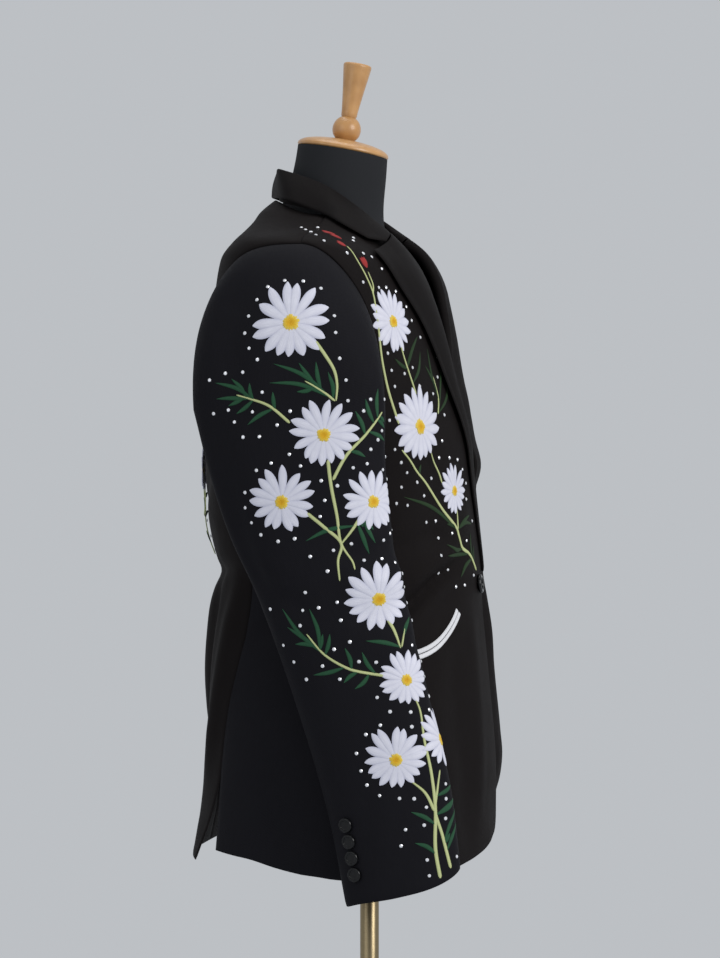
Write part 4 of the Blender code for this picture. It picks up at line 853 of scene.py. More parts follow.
def front_panel_grid(quarter_points, edge_points):
    """(turn, rise) of a front: quarter and hem, side seam and armhole, shoulder seam, front edge and roll."""
    rows = SIDE_SEAM_STEPS + FRONT_SCYE_STEPS + 1
    scye = armhole(scye_angles()[0][::-1])
    right = np.concatenate([side_seam(FRONT_SIDE_SEAM, -1), scye[1:] - np.array([HALF_GAP_TURN, 0])])
    edge = smooth_curve(edge_curve(edge_points), EDGE_POINTS)
    roll = smooth_curve(edge_curve(ROLL_LINE), ROLL_LINE_POINTS)
    neck_end = np.array([right[-1, 0], NECK_RISE])
    share = np.linspace(0, 1, NECK_POINTS)[:, None]
    neck_way = np.concatenate([share, smooth_step(share * NECK_CURVE)], axis=1)
    neck = roll[-1] + (neck_end - roll[-1]) * neck_way
    left = resample(np.concatenate([edge, roll[1:], neck[1:]]), rows)
    quarter = edge_curve(quarter_points)
    hem = np.linspace(quarter[0], right[0], HEM_POINTS)
    bottom = resample(np.concatenate([quarter[::-1], hem[1:]]), FRONT_COLUMNS)
    top = np.linspace(neck_end, right[-1], FRONT_COLUMNS)
    return patch(bottom, top, left, right)


def side_panel_grid():
    """(turn, rise) of the side panel, whose back edge is the vent's edge below VENT_TOP."""
    left = side_seam(FRONT_SIDE_SEAM, 1)
    right = side_seam(BACK_SIDE_SEAM, -1, SIDE_HEM[-1].rise)
    top = armhole(scye_angles()[1])
    top[0], top[-1] = left[-1], right[-1]
    turns = np.linspace(left[0, 0], right[0, 0], SIDE_SCYE_STEPS + 1)
    rises = smooth_rows([(point.turn, point.rise) for point in SIDE_HEM], turns)[:, 0]
    bottom = np.stack([turns, rises], axis=-1)
    bottom[0], bottom[-1] = left[0], right[0]
    return patch(bottom, top, left, right)


def back_panel_grid():
    """(turn, rise) of half of the back, from its side edge to the middle seam and the neck."""
    side = side_seam(BACK_SIDE_SEAM, 1)
    below_vent = np.clip((VENT_TOP - side[:, 1]) / (VENT_TOP - HEM_RISE), 0, 1)
    side[:, 0] += VENT_OPEN_TURN * below_vent**VENT_CURVE
    scye = armhole(scye_angles()[2])
    scye[-1, 0] += HALF_GAP_TURN
    left = np.concatenate([side, scye[1:]])
    middle = middle_turn(SEAM_GAP / 2)
    corner = (SHOULDER_TURN + HALF_GAP_TURN, NECK_RISE)
    low = np.linspace((middle, HEM_RISE), (middle, BACK_LEVEL_RISE), SIDE_SEAM_STEPS + 1)
    high = np.linspace(low[-1], (middle, NECK_RISE), BACK_SCYE_STEPS - BACK_NECK_STEPS + 1)
    neck = np.linspace(high[-1], corner, BACK_NECK_STEPS + 1)
    right = np.concatenate([low, high[1:], neck[1:]])
    bottom = np.linspace(left[0], right[0], BACK_COLUMNS)
    top = np.linspace(left[-1], corner, BACK_COLUMNS)
    return patch(bottom, top, left, right)


def right_front_lift(points):
    """How far the right front stands out over the left one."""
    across, height = -points[..., 0], points[..., 2]
    over_left = RIGHT_FRONT_LIFT + RIGHT_PUFF_LIFT * growing(height, LIFT_GROWS_UP)
    over_left = over_left * (1.0 - growing(across, LIFT_ENDS_ACROSS))
    return over_left * (1.0 - growing(height, LIFT_ENDS_UP))


def left_front_lift(points):
    """How far the left front stands out beside the right one's edge.

    The points are those of the right side that mirror it.
    """
    across, behind, height = -points[..., 0], points[..., 1], points[..., 2]
    beside = smooth_rows(LEFT_BESIDE, height)[..., 0] * growing(across, BESIDE_GROWS_ACROSS)
    beside = beside * (1.0 - growing(across, BESIDE_ENDS_ACROSS))
    high = growing(height, LAPEL_LIFT_GROWS_UP) * (1.0 - growing(across, LAPEL_LIFT_ENDS_ACROSS))
    off_shoulder = 1.0 - growing(behind, LAPEL_LIFT_ENDS_BACK)
    low_roll = 1.0 - growing(across, ROLL_BULGE_ENDS_ACROSS)
    bulge = sum(swell.depth * np.exp(-(((height - swell.rise) / swell.spread) ** 2)) for swell in ROLL_SWELLS)
    return beside + LEFT_LAPEL_LIFT * high * off_shoulder + bulge * low_roll


def notch_bend(up):
    return smooth_step((up - NOTCH_BEND_START) / (1.0 - NOTCH_BEND_START))


def lapel_section(up, lift_at, bend):
    """A lapel's cross-section at this share of the roll line: round the roll, then out to its edge.

    Bend 1 takes the section by the notch, and its last two points then go on to the lapel's corner.
    """
    roll = smooth_curve(edge_curve(ROLL_LINE), ROLL_SAMPLES)
    at = up * (len(roll) - 1)
    turn, rise = (np.interp(at, np.arange(len(roll)), roll[:, k]) for k in (0, 1))
    low, high = (roll[int(np.clip(round(at) + k, 0, len(roll) - 1))] for k in (-1, 1))
    row_rises = LAPEL_ROWS[0].rise + up * (LAPEL_ROWS[-1].rise - LAPEL_ROWS[0].rise)
    past_middle, roll_height, edge_lift, belly = smooth_rows(LAPEL_ROWS, row_rises)
    edge = np.array([float(turn_at(row_rises, past_middle)), row_rises])
    here = body_point(turn, rise, lift_at(body_base(turn, rise)))
    normal = body_normal(turn, rise)
    run = unit(body_base(*high) - body_base(*low))
    inward = unit(np.cross(normal, run))
    inward = inward if inward[0] > 0 else -inward
    radius = roll_height / 2
    points = []
    for angle in np.radians(np.linspace(0.0, 180.0, LAPEL_ROLL_POINTS)):
        off_edge = SEAM_GAP + CLOTH / 2 + radius * ROLL_FLATNESS * math.sin(angle)
        points.append(here + inward * off_edge + normal * radius * (1 - math.cos(angle)))
    notch = np.array([float(turn_at(NOTCH.rise, NOTCH.past_middle)), NOTCH.rise])
    start = np.array([turn, rise])
    past_notch = LAPEL_OUT_POINTS - LAPEL_NOTCH_POINT
    for j in range(1, LAPEL_OUT_POINTS + 1):
        share = j / LAPEL_OUT_POINTS
        if j <= LAPEL_NOTCH_POINT:
            by_notch = start + (notch - start) * j / LAPEL_NOTCH_POINT
        else:
            by_notch = notch + (edge - notch) * (j - LAPEL_NOTCH_POINT) / past_notch
        way = start + (edge - start) * share
        way = way + (by_notch - way) * bend
        height = roll_height + (edge_lift - roll_height) * share
        height += belly * math.sin(math.pi * min(1.0, share * BELLY_SPREAD))
        points.append(body_point(way[0], way[1], height + lift_at(body_base(*way))))
    return np.array(points)


def lapel_grid(lift_at):
    """Points of the right lapel: rows run up the roll line, columns go round the fold and out to the edge."""
    return np.array([lapel_section(up, lift_at, notch_bend(up)) for up in np.linspace(0, 1, LAPEL_COUNT)])


def along_line(line, shares):
    """Points at these shares of a line's length."""
    length = length_along(line)
    at = np.asarray(shares) * length[-1]
    return np.stack([np.interp(at, length, line[:, k]) for k in range(3)], axis=-1)


def collar_row(station):
    """The collar's cross-section at one station: up the stand, over the fold and down the leaf."""
    radius = COLLAR_ROLL_RADIUS
    seat = np.array([0, 0, CLOTH / 2 + SEAM_GAP + COLLAR_SEAT])
    seam = body_point(station.seam_turn, NECK_RISE) + seat
    top = np.array([station.fold_x, station.fold_y, station.fold_z])
    edge = body_point(station.edge_turn, station.edge_rise, station.edge_lift)
    away = edge - top
    outwards = unit(away - np.array([0, 0, away[2]]) * COLLAR_LEVEL)
    rising = unit(top - (seam + edge) / 2)
    outwards = unit(outwards - rising * (outwards @ rising))
    inner_top = top - outwards * radius - rising * radius
    outer_top = top + outwards * radius - rising * radius
    stand_shares = np.linspace(0, 1, COLLAR_STAND_POINTS + 1)[:-1]
    line = [seam + (inner_top - seam) * share for share in stand_shares]
    middle = top - rising * radius
    for angle in np.radians(np.linspace(-90, 90, COLLAR_ROUND_POINTS)):
        line.append(middle + outwards * radius * math.sin(angle) + rising * radius * math.cos(angle))
    side = unit(np.cross(edge - outer_top, np.cross(outwards, rising)))
    side = side if side @ outwards > 0 else -side
    for share in np.linspace(0, 1, COLLAR_LEAF_POINTS + 1)[1:]:
        raised = station.bulge * math.sin(math.pi * share)
        line.append(outer_top + (edge - outer_top) * share + side * raised)
    return np.array(line)


def collar_end(lift_at):
    """The collar's last cross-section, along the gorge on the lapel's top and on to the leaf's corner."""
    section = lapel_section(1.0, lift_at, 1.0)
    gorge = section[: LAPEL_ROLL_POINTS + LAPEL_NOTCH_POINT]
    lower = 1.0 - GORGE_STEP
    behind = lapel_section(lower, lift_at, notch_bend(lower))[: len(gorge)]
    gorge = gorge + unit(gorge - behind) * GORGE_GAP
    count = COLLAR_STAND_POINTS + COLLAR_ROUND_POINTS + COLLAR_NOTCH_POINT
    line = along_line(gorge, np.linspace(0, 1, count))
    rise = COLLAR_CORNER.rise
    turn = float(turn_at(rise, COLLAR_CORNER.past_middle))
    corner = body_point(turn, rise, COLLAR_EDGE_LIFT + lift_at(body_base(turn, rise)))
    rest = COLLAR_LEAF_POINTS - COLLAR_NOTCH_POINT
    leaf = [line[-1] + (corner - line[-1]) * j / rest for j in range(1, rest + 1)]
    return np.concatenate([line, leaf])


def collar_half(lift_at, rows):
    """Rows of the right half of the collar, from the back's middle to its end at the gorge."""
    sections = np.array([collar_row(station) for station in COLLAR_STATIONS] + [collar_end(lift_at)])
    table = np.column_stack([np.arange(len(sections)), sections.reshape(len(sections), -1)])
    at = np.linspace(0, len(sections) - 1, rows)
    return smooth_rows(table, at).reshape(rows, -1, 3)


def collar_grid(half_rows):
    """Points of the collar's middle, from the wearer's right front round the neck to the left."""
    right = collar_half(right_front_lift, half_rows)
    left = mirrored(collar_half(left_front_lift, half_rows))
    return np.concatenate([right[::-1], left[1:]])


def sleeve_ring_points(ring, angles):
    """Points of one ring of the right sleeve. Angle 0 is its outer side and 90 its front."""
    outer = np.array([ring.outer_x, ring.middle_y, ring.outer_z])
    inner = np.array([ring.inner_x, ring.middle_y, ring.inner_z])
    middle, out = (outer + inner) / 2, (outer - inner) / 2
    ahead = np.array([0.0, -ring.half_width, ring.slope * ring.half_width])
    cosine, sine = np.cos(np.radians(angles)), np.sin(np.radians(angles))
    long_way = np.sign(cosine) * np.abs(cosine) ** SLEEVE_ROUND
    wide_way = np.sign(sine) * np.abs(sine) ** SLEEVE_ROUND
    return middle + long_way[:, None] * out + wide_way[:, None] * ahead


def sleeve_ring_ways(ring, angles):
    """The outward direction at each point of a sleeve's ring."""
    out = np.array([ring.outer_x - ring.inner_x, 0.0, ring.outer_z - ring.inner_z]) / 2
    ahead = np.array([0.0, -ring.half_width, ring.slope * ring.half_width])
    cosine, sine = np.cos(np.radians(angles))[:, None], np.sin(np.radians(angles))[:, None]
    return unit(cosine * out / (out @ out) + sine * ahead / (ahead @ ahead))


def sleeve_head(start, end, angles, rows):
    """Curves from the armhole to the biceps ring, which leave the body outwards and end downwards."""
    span = np.linalg.norm(end - start, axis=1, keepdims=True)
    sideways = -HEAD_SPREAD * np.sin(np.radians(angles))
    outwards = np.stack([-np.ones_like(sideways), sideways, np.full_like(sideways, HEAD_FALL)], axis=1)
    leave = span * HEAD_REACH * unit(outwards)
    arrive = span * HEAD_DROP * np.array([0.0, 0.0, -1.0])
    t = np.linspace(0, 1, rows)[:, None, None]
    return (
        (2 * t**3 - 3 * t**2 + 1) * start
        + (t**3 - 2 * t**2 + t) * leave
        + (3 * t**2 - 2 * t**3) * end
        + (t**3 - t**2) * arrive
    )


def sleeve_grid(angles, head_rows, arm_rows):
    """Points of the right sleeve at these angles, from the armhole to the cuff."""
    edge = armhole(angles)
    middle = np.array([SHOULDER_TURN, ARMHOLE_MIDDLE])
    reach = np.linalg.norm((edge - middle) * np.array([METRES_PER_TURN, 1.0]), axis=1, keepdims=True)
    start = middle + (edge - middle) * (1 - (SLEEVE_START_INSET + SEAM_GAP) / reach)
    rings = np.array([sleeve_ring_points(ring, angles) for ring in SLEEVE_RINGS])
    ways = np.array([sleeve_ring_ways(ring, angles) for ring in SLEEVE_RINGS])
    head = sleeve_head(body_point(start[:, 0], start[:, 1]), rings[0], angles, head_rows)
    fallen = -rings[:, :, 2].mean(axis=1)
    table = np.column_stack([fallen, rings.reshape(len(rings), -1), ways.reshape(len(ways), -1)])
    arm = smooth_rows(table, np.linspace(fallen[0], fallen[-1], arm_rows))
    arm = arm.reshape(arm_rows, 2, len(angles), 3)
    near_cuff = smooth_step((np.linspace(0, 1, arm_rows) - CUFF_SAG_START) / (1 - CUFF_SAG_START))[:, None]
    off_lowest = np.clip((np.asarray(angles) - CUFF_SAG_ANGLE) / CUFF_SAG_SPREAD, -1, 1)
    arm[:, 0, :, 2] -= CUFF_SAG * near_cuff * np.cos(off_lowest * math.pi / 2) ** 2
    easing = smooth_step(2 * np.linspace(0, 1, head_rows))[:, None, None]
    outwards = np.concatenate([easing * ways[0], unit(arm[1:, 1])])
    whole = np.concatenate([head, arm[1:, 0]])
    return whole - outwards * crease_depth(whole, sleeve_creases())[..., None]


def sleeve_pieces():
    """Points and directions of the right sleeve's upper and under piece, from one whole tube."""
    front, under, back = scye_angles()
    outer_part = [back[SLEEVE_BACK_STEPS:] - 360.0, front[1:]]
    round_the_arm = np.concatenate([*outer_part, under[1:], back[1:SLEEVE_BACK_STEPS]])
    whole = sleeve_grid(round_the_arm, HEAD_ROWS, ARM_ROWS)
    before, after = np.roll(whole, 1, axis=1), np.roll(whole, -1, axis=1)
    normals = unit(np.cross(np.gradient(whole, axis=0), after - before))
    front_seam = BACK_SCYE_STEPS - SLEEVE_BACK_STEPS + FRONT_SCYE_STEPS
    upper = np.arange(front_seam + 1)
    under_arm = np.append(np.arange(front_seam, whole.shape[1]), 0)
    pieces = []
    for columns in (upper, under_arm):
        points = whole[:, columns].copy()
        for edge, inner in ((0, 1), (-1, -2)):
            points[:, edge] += unit(points[:, inner] - points[:, edge]) * SLEEVE_SEAM_GAP
        pieces.append((points, normals[:, columns]))
    return pieces


def left_sleeve(grid):
    """The left sleeve hangs a little further back than the right one's mirror image."""
    swing = LEFT_SLEEVE_SWING * smooth_step((SWING_TOP - grid[..., 2]) / SWING_HEIGHT)
    return mirrored(grid) + swing[..., None] * np.array([0.0, 1.0, 0.0])


def pocket_centre_line(count):
    """How far round from the pocket's middle, how high and at what angle points along its smile lie."""
    angles = np.radians(np.linspace(-POCKET_FRONT_ANGLE, POCKET_BACK_ANGLE, count))
    across = POCKET_RADIUS * np.sin(angles)
    rise = POCKET_LOW_RISE + POCKET_RADIUS * (1 - np.cos(angles))
    return across, rise, angles


def turn_from_girth(rise, start_turn, length):
    """The turn that lies this length round the ring from a start."""
    turns = np.linspace(*GIRTH_TURNS)
    ring = body_base(turns, np.full_like(turns, rise))
    along = length_along(ring)
    return float(np.interp(np.interp(start_turn, turns, along) + length, along, turns))


def welt_grid(side, lift_at):
    """Points of a welt on the right pocket. Side is 1 above the slit and -1 below it."""
    across, rise, angles = pocket_centre_line(WELT_POINTS)
    near, far = WELT_SLIT / 2, WELT_SLIT / 2 + WELT_WIDTH
    away = np.linspace(near, far, WELT_ACROSS)[None] * side
    round_it = across[:, None] - np.sin(angles)[:, None] * away
    height = rise[:, None] + np.cos(angles)[:, None] * away
    turn = np.vectorize(turn_from_girth)(height, POCKET_MIDDLE_TURN, round_it)
    domed = WELT_DOME * np.sin(np.linspace(0, math.pi, WELT_ACROSS))
    lift = lift_at(body_base(turn, height)) + domed
    return body_point(turn, height, CLOTH / 2 + SEAM_GAP + WELT_CLOTH / 2 + lift)


def sleeve_surface_frame(angle, up_from_hem):
    """A point of the right sleeve's outer face and its outward direction, near the cuff."""
    grid = sleeve_grid(angle + CUFF_FRAME_ANGLES, *CUFF_FRAME_ROWS)
    line = grid[:, 1]
    along = length_along(line[::-1])
    index = len(line) - 1 - int(np.searchsorted(along, up_from_hem))
    normal = unit(np.cross(grid[index, 2] - grid[index, 0], line[index + 1] - line[index - 1]))
    normal = normal if normal[0] < 0 else -normal
    return line[index], normal


def form_ring(turns, rise):
    """Points of the form's skin at this rise, inside the cloth."""
    rises = np.full_like(turns, rise)
    inset = float(smooth_rows(FORM_INSETS, np.array(rise))[0])
    return body_base(turns, rises) - body_normal(turns, rises) * inset


def form_bottom_rings(lowest):
    """The form's lower edge: a ring under its lowest one, and a smaller one on its flat bottom."""
    edge, flat = lowest.copy(), lowest.copy()
    edge[:, 2] = FORM_BOTTOM + FORM_BOTTOM_EDGE
    middle = np.array([0.0, FORM_MIDDLE_Y])
    flat[:, :2] = middle + (lowest[:, :2] - middle) * FORM_BOTTOM_SHARE
    flat[:, 2] = FORM_BOTTOM
    return [flat, edge]


def neck_ring_points(neck, turns):
    angles = np.radians(turns)
    x = -neck.half_width * np.sin(angles)
    y = neck.middle_y - neck.half_depth * np.cos(angles)
    z = neck.middle_z - neck.half_depth * np.cos(angles) * neck.tilt
    return np.stack([x, y, z], axis=-1)


def neck_axis():
    return np.array([0.0, -math.sin(NECK_TILT), math.cos(NECK_TILT)])


def finial_outline():
    """A ball on a small foot, and a cone that widens upwards from it."""
    ball = []
    for angle in np.radians(np.linspace(*BALL_ANGLES)):
        height = FINIAL_BALL_HEIGHT - FINIAL_BALL_RADIUS * math.cos(angle)
        ball.append(Outline(FINIAL_BALL_RADIUS * math.sin(angle), height))
    foot = [Outline(0.0, 0.0), Outline(FINIAL_FOOT_RADIUS, 0.0)]
    return foot + ball + finer(FINIAL_NECK_OUTLINE, FINIAL_FINENESS)


def length_along(points):
    """How far along its line each point lies."""
    return np.concatenate([[0], np.cumsum(np.linalg.norm(np.diff(points, axis=0), axis=-1))])


def uv_in_metres(grid):
    """Each point's place on the flat cloth: metres across from the middle column, and metres up."""
    rows, columns = grid.shape[:2]
    across = np.zeros((rows, columns))
    across[:, 1:] = np.cumsum(np.linalg.norm(np.diff(grid, axis=1), axis=2), axis=1)
    across -= across[:, [columns // 2]]
    up = length_along(grid[:, columns // 2])
    return np.stack([across, np.repeat(up[:, None], columns, axis=1)], axis=-1)


def linked(name, data):
    """A new object in the scene."""
    made = bpy.data.objects.new(name, data)
    bpy.context.scene.collection.objects.link(made)
    return made


def mesh_object(name, points, faces, finish, layers, smooth_angle=50.0):
    """A mesh with its faces turned out. Layers are UV maps: a name, and a place for each point."""
    mesh = bpy.data.meshes.new(name)
    faces = [tuple(face) if face[-1] != face[-2] else tuple(face[:-1]) for face in np.asarray(faces).tolist()]
    mesh.from_pydata(np.asarray(points).tolist(), [], faces)
    corner = np.empty(len(mesh.loops), np.int32)
    mesh.loops.foreach_get("vertex_index", corner)
    for layer, places in layers.items():
        uv = mesh.uv_layers.new(name=layer)
        uv.data.foreach_set("uv", np.asarray(places, np.float32)[corner].ravel())
    work = bmesh.new()
    work.from_mesh(mesh)
    bmesh.ops.recalc_face_normals(work, faces=work.faces[:])
    work.to_mesh(mesh)
    work.free()
    mesh.shade_smooth()
    mesh.set_sharp_from_angle(angle=math.radians(smooth_angle))
    mesh.materials.append(finish)
    return linked(name, mesh)


def rim_of(rows, columns):
    """Row and column of each point on a grid's border, once round."""
    rim = [(0, j) for j in range(columns)]
    rim += [(i, columns - 1) for i in range(1, rows)]
    rim += [(rows - 1, j) for j in range(columns - 2, -1, -1)]
    rim += [(i, 0) for i in range(rows - 2, 0, -1)]
    return np.array(rim).T


def grid_faces(rows, columns):
    index = np.arange(rows * columns).reshape(rows, columns)
    corners = [index[:-1, :-1], index[:-1, 1:], index[1:, 1:], index[1:, :-1]]
    return np.stack(corners, axis=-1).reshape(-1, 4)


def shell(name, grid, thick, finish, normals=None):
    """A closed sheet of cloth round a grid of points, with its edges turned in a little."""
    normals = grid_normals(grid) if normals is None else normals
    rows, columns = grid.shape[:2]
    inset = np.zeros_like(grid)
    inset[0] += unit(grid[1] - grid[0])
    inset[-1] += unit(grid[-2] - grid[-1])
    inset[:, 0] += unit(grid[:, 1] - grid[:, 0])
    inset[:, -1] += unit(grid[:, -2] - grid[:, -1])
    border = np.linalg.norm(inset, axis=-1, keepdims=True) > 0
    middle = grid + inset * EDGE_ROUND
    half = np.where(border, EDGE_THIN, 1.0) * thick / 2
    rim = rim_of(rows, columns)
    outer_points, inner_points = (middle + normals * half * side for side in (1, -1))
    points = np.concatenate([outer_points.reshape(-1, 3), inner_points.reshape(-1, 3), grid[rim[0], rim[1]]])
    edge = rim[0] * columns + rim[1]
    ring = 2 * rows * columns + np.arange(len(edge))
    after, ring_after = np.roll(edge, -1), np.roll(ring, -1)
    outer = grid_faces(rows, columns)
    inner = outer[:, ::-1] + rows * columns
    upper = np.stack([edge, ring, ring_after, after], axis=-1)
    lower = np.stack([ring, edge + rows * columns, after + rows * columns, ring_after], axis=-1)
    uv = uv_in_metres(grid).reshape(-1, 2)
    places = np.concatenate([uv, uv, uv[edge]])
    return mesh_object(name, points, np.concatenate([outer, inner, upper, lower]), finish, {"metres": places})


def cloth_piece(piece, made):
    """Rides a cloth shell on the root, and hides the solid it stands for."""
    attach(made, "root")
    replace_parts(made, piece)
    return made


Side = namedtuple("Side", "name lift_at turn_over place_sleeve quarter edge")


def both_sides():
    right = Side("right", right_front_lift, np.asarray, np.asarray, RIGHT_QUARTER, RIGHT_FRONT_EDGE)
    left = Side("left", left_front_lift, mirrored, left_sleeve, LEFT_QUARTER, LEFT_FRONT_EDGE)
    return [right, left]


def build_cloth(suiting, cool_lit_cloth, shaded_lapel_cloth):
    panels = {"side_panel": side_panel_grid(), "back": back_panel_grid()}
    sleeves = dict(zip(("sleeve_upper", "sleeve_under"), sleeve_pieces()))
    for side in both_sides():
        panels["front"] = front_panel_grid(side.quarter, side.edge)
        for piece, grid in panels.items():
            turn, rise = grid[..., 0], grid[..., 1]
            lift = side.lift_at(body_base(turn, rise)) if piece == "front" else 0.0
            points = side.turn_over(body_point(turn, rise, lift))
            normals = side.turn_over(body_normal(turn, rise))
            # The side panel takes the cool-tinted copy: painted cool shade under the sleeve
            cloth = cool_lit_cloth if piece == "side_panel" else suiting
            made = shell(f"cloth_{piece}_{side.name}", points, CLOTH, cloth, normals)
            cloth_piece(f"{piece}_{side.name}", made)
        # Lapels and collar take the darker copy of the cloth: painted shade
        made = shell(f"cloth_lapel_{side.name}", side.turn_over(lapel_grid(side.lift_at)), CLOTH, shaded_lapel_cloth)
        cloth_piece(f"lapel_{side.name}", made)
        for piece, (points, normals) in sleeves.items():
            name = f"{piece}_{side.name}"
            placed, ways = side.place_sleeve(points), side.turn_over(normals)
            made = shell(f"cloth_{name}", placed, CLOTH, cool_lit_cloth, ways)
            cloth_piece(name, made)
    made = shell("cloth_collar", collar_grid(COLLAR_HALF_ROWS), COLLAR_CLOTH, shaded_lapel_cloth)
    cloth_piece("collar", made)


def build_welts(satin):
    for place, way in (("upper", 1), ("lower", -1)):
        for side in both_sides():
            grid = side.turn_over(welt_grid(way, side.lift_at))
            made = shell(f"piping_{place}_{side.name}", grid, WELT_CLOTH, satin)
            cloth_piece(f"pocket_welt_{place}_{side.name}", made)


class Surface:
    """A chart of one cloth surface: metres round it and metres up it, to points in space."""

    def __init__(self, points, up, zero, outward=1.0):
        steps = np.linalg.norm(np.diff(points, axis=1), axis=2)
        round_it = np.concatenate([np.zeros((len(points), 1)), np.cumsum(steps, axis=1)], axis=1)
        round_it -= round_it[:, [zero]]
        self.low = float(round_it.min())
        at = np.arange(self.low, float(round_it.max()), CHART_STEP)
        even = [[np.interp(at, row, layer[:, k]) for k in range(3)] for row, layer in zip(round_it, points)]
        across = np.moveaxis(np.array(even), 1, 2)
        place = np.interp(np.arange(up[0], up[-1], CHART_STEP), up, np.arange(len(up)))
        low = np.clip(place.astype(int), 0, len(up) - 2)
        share = (place - low)[:, None, None]
        self.grid = across[low] * (1 - share) + across[low + 1] * share
        self.bottom, self.outward = float(up[0]), outward

    def at(self, where):
        """Points at (round, up) places."""
        where = np.asarray(where, float)
        column = np.clip((where[..., 0] - self.low) / CHART_STEP, 0, self.grid.shape[1] - 1.001)
        row = np.clip((where[..., 1] - self.bottom) / CHART_STEP, 0, self.grid.shape[0] - 1.001)
        j, i = column.astype(int), row.astype(int)
        u, v = (column - j)[..., None], (row - i)[..., None]
        low = self.grid[i, j] * (1 - u) + self.grid[i, j + 1] * u
        high = self.grid[i + 1, j] * (1 - u) + self.grid[i + 1, j + 1] * u
        return low * (1 - v) + high * v

    def frames(self, where):
        """Points, the directions round and up, and the outward direction."""
        where = np.asarray(where, float)
        steps = np.array([CHART_STEP, 0.0]), np.array([0.0, CHART_STEP])
        around, rising = (
            (self.at(where + step) - self.at(where - step)) / (2 * CHART_STEP) for step in steps
        )
        return self.at(where), around, rising, unit(np.cross(around, rising)) * self.outward

    def offsets(self, where, direction):
        """How far round and up a metre in this direction of space goes, on the surface."""
        _, around, rising, _ = self.frames(where)
        a, b, c = (np.sum(p * q, axis=-1) for p, q in ((around, around), (around, rising), (rising, rising)))
        r, s = np.sum(direction * around, axis=-1), np.sum(direction * rising, axis=-1)
        flat = np.maximum(a * c - b * b, 0.05)
        return np.stack([(c * r - b * s) / flat, (a * s - b * r) / flat], axis=-1)

    def local(self, centre, places):
        """(round, up) of places in metres on a flat picture round a centre, its first axis level."""
        _, around, _, outward = self.frames(centre)
        first = unit(around)
        second = np.cross(outward, first) * self.outward
        basis = np.stack([self.offsets(centre, first), self.offsets(centre, second)])
        return np.asarray(centre) + np.asarray(places) @ basis

    def seen(self, pixels):
        """(round, up) places that the photograph's camera sees at these pixels."""
        pixels = np.asarray(pixels, float)
        rows, columns = self.grid.shape[:2]
        around = self.low + CHART_STEP * np.arange(columns)
        rising = self.bottom + CHART_STEP * np.arange(rows)
        where = np.stack(np.meshgrid(around, rising), axis=-1).reshape(-1, 2)
        points, _, _, normals = self.frames(where)
        facing = np.sum(normals * (camera_place() - points), axis=-1) > 0
        where, shown = where[facing], photo_pixels(points[facing])
        found = where[np.argmin(np.linalg.norm(shown[None] - pixels[:, None], axis=-1), axis=1)]
        steps = np.eye(2) * CHART_STEP / 2
        for _ in range(SEEN_ROUNDS):
            here = photo_pixels(self.at(found))
            slopes = [(photo_pixels(self.at(found + step)) - here) / (CHART_STEP / 2) for step in steps]
            inverse = np.linalg.pinv(np.stack(slopes, axis=-1), rcond=SEEN_CUTOFF)
            missing = np.einsum("nij,nj->ni", inverse, pixels - here)
            found = found + np.clip(missing, -CHART_STEP, CHART_STEP)
        return found


def camera_place():
    yaw = math.radians(VIEW_YAW)
    return np.array([-math.cos(yaw) * VIEW_DISTANCE, -math.sin(yaw) * VIEW_DISTANCE, VIEW_HEIGHT])


def photo_pixels(points):
    """Where the photograph shows points of space."""
    yaw = math.radians(VIEW_YAW)
    ahead = np.array([math.cos(yaw), math.sin(yaw), 0.0])
    aside = np.array([math.sin(yaw), -math.cos(yaw), 0.0])
    away = points - camera_place()
    scale = FOCAL_PIXELS / (away @ ahead)
    return np.stack([AXIS_PIXEL + (away @ aside) * scale, PHOTO_HEIGHT / 2 - away[..., 2] * scale], axis=-1)


class Heap:
    """Points and faces of many small shapes, to be joined into one mesh."""

    def __init__(self):
        self.points, self.faces, self.metres, self.shape, self.count = [], [], [], [], 0

    def add(self, points, faces, metres, shape):
        self.points.append(points)
        self.faces.append(faces + self.count)
        self.metres.append(metres)
        self.shape.append(shape)
        self.count += len(points)

    def build(self, name, finish, slot, smooth_angle):
        layers = {"metres": np.concatenate(self.metres), "shape": np.concatenate(self.shape)}
        faces = np.concatenate(self.faces)
        made = mesh_object(name, np.concatenate(self.points), faces, finish, layers, smooth_angle)
        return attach(made, "root")


def lens_faces(rows, columns):
    """Faces of a closed shape of two grids, one over the other, that share no points."""
    top = grid_faces(rows, columns)
    rim = rim_of(rows, columns)
    edge = rim[0] * columns + rim[1]
    after, half = np.roll(edge, -1), rows * columns
    side = np.stack([edge, edge + half, after + half, after], axis=-1)
    return np.concatenate([top, top[:, ::-1] + half, side])


def ribbon(heap, surface, path, half_width, height, across=BAND_ACROSS, lift=0.0):
    """A satin-stitched band along a path of (round, up) places, domed across and sunk in at its edges."""
    here, _, _, normal = surface.frames(path)
    along = unit(np.gradient(here, axis=0))
    sideways = surface.offsets(path, unit(np.cross(normal, along)))
    s = np.linspace(-1, 1, across)
    where = path[:, None] + s[None, :, None] * half_width[:, None, None] * sideways[:, None]
    points, _, _, normals = surface.frames(where)
    thin = np.sqrt(half_width / half_width.max())[:, None]
    dome = height * np.sqrt(np.clip(1 - s**2, 0, 1))[None] * thin
    top = points + normals * (CLOTH / 2 + STITCH_BASE + lift + dome)[..., None]
    bottom = points + normals * (CLOTH / 2 - STITCH_SINK)
    length = length_along(here)[:, None].repeat(across, axis=1)
    metres = np.stack([length, s[None] * half_width[:, None]], axis=-1).reshape(-1, 2)
    spread = s[None].repeat(len(path), axis=0) / 2 + 0.5
    shape = np.stack([length / length[-1], spread], axis=-1).reshape(-1, 2)
    both = np.concatenate([top.reshape(-1, 3), bottom.reshape(-1, 3)])
    heap.add(both, lens_faces(len(path), across), np.tile(metres, (2, 1)), np.tile(shape, (2, 1)))


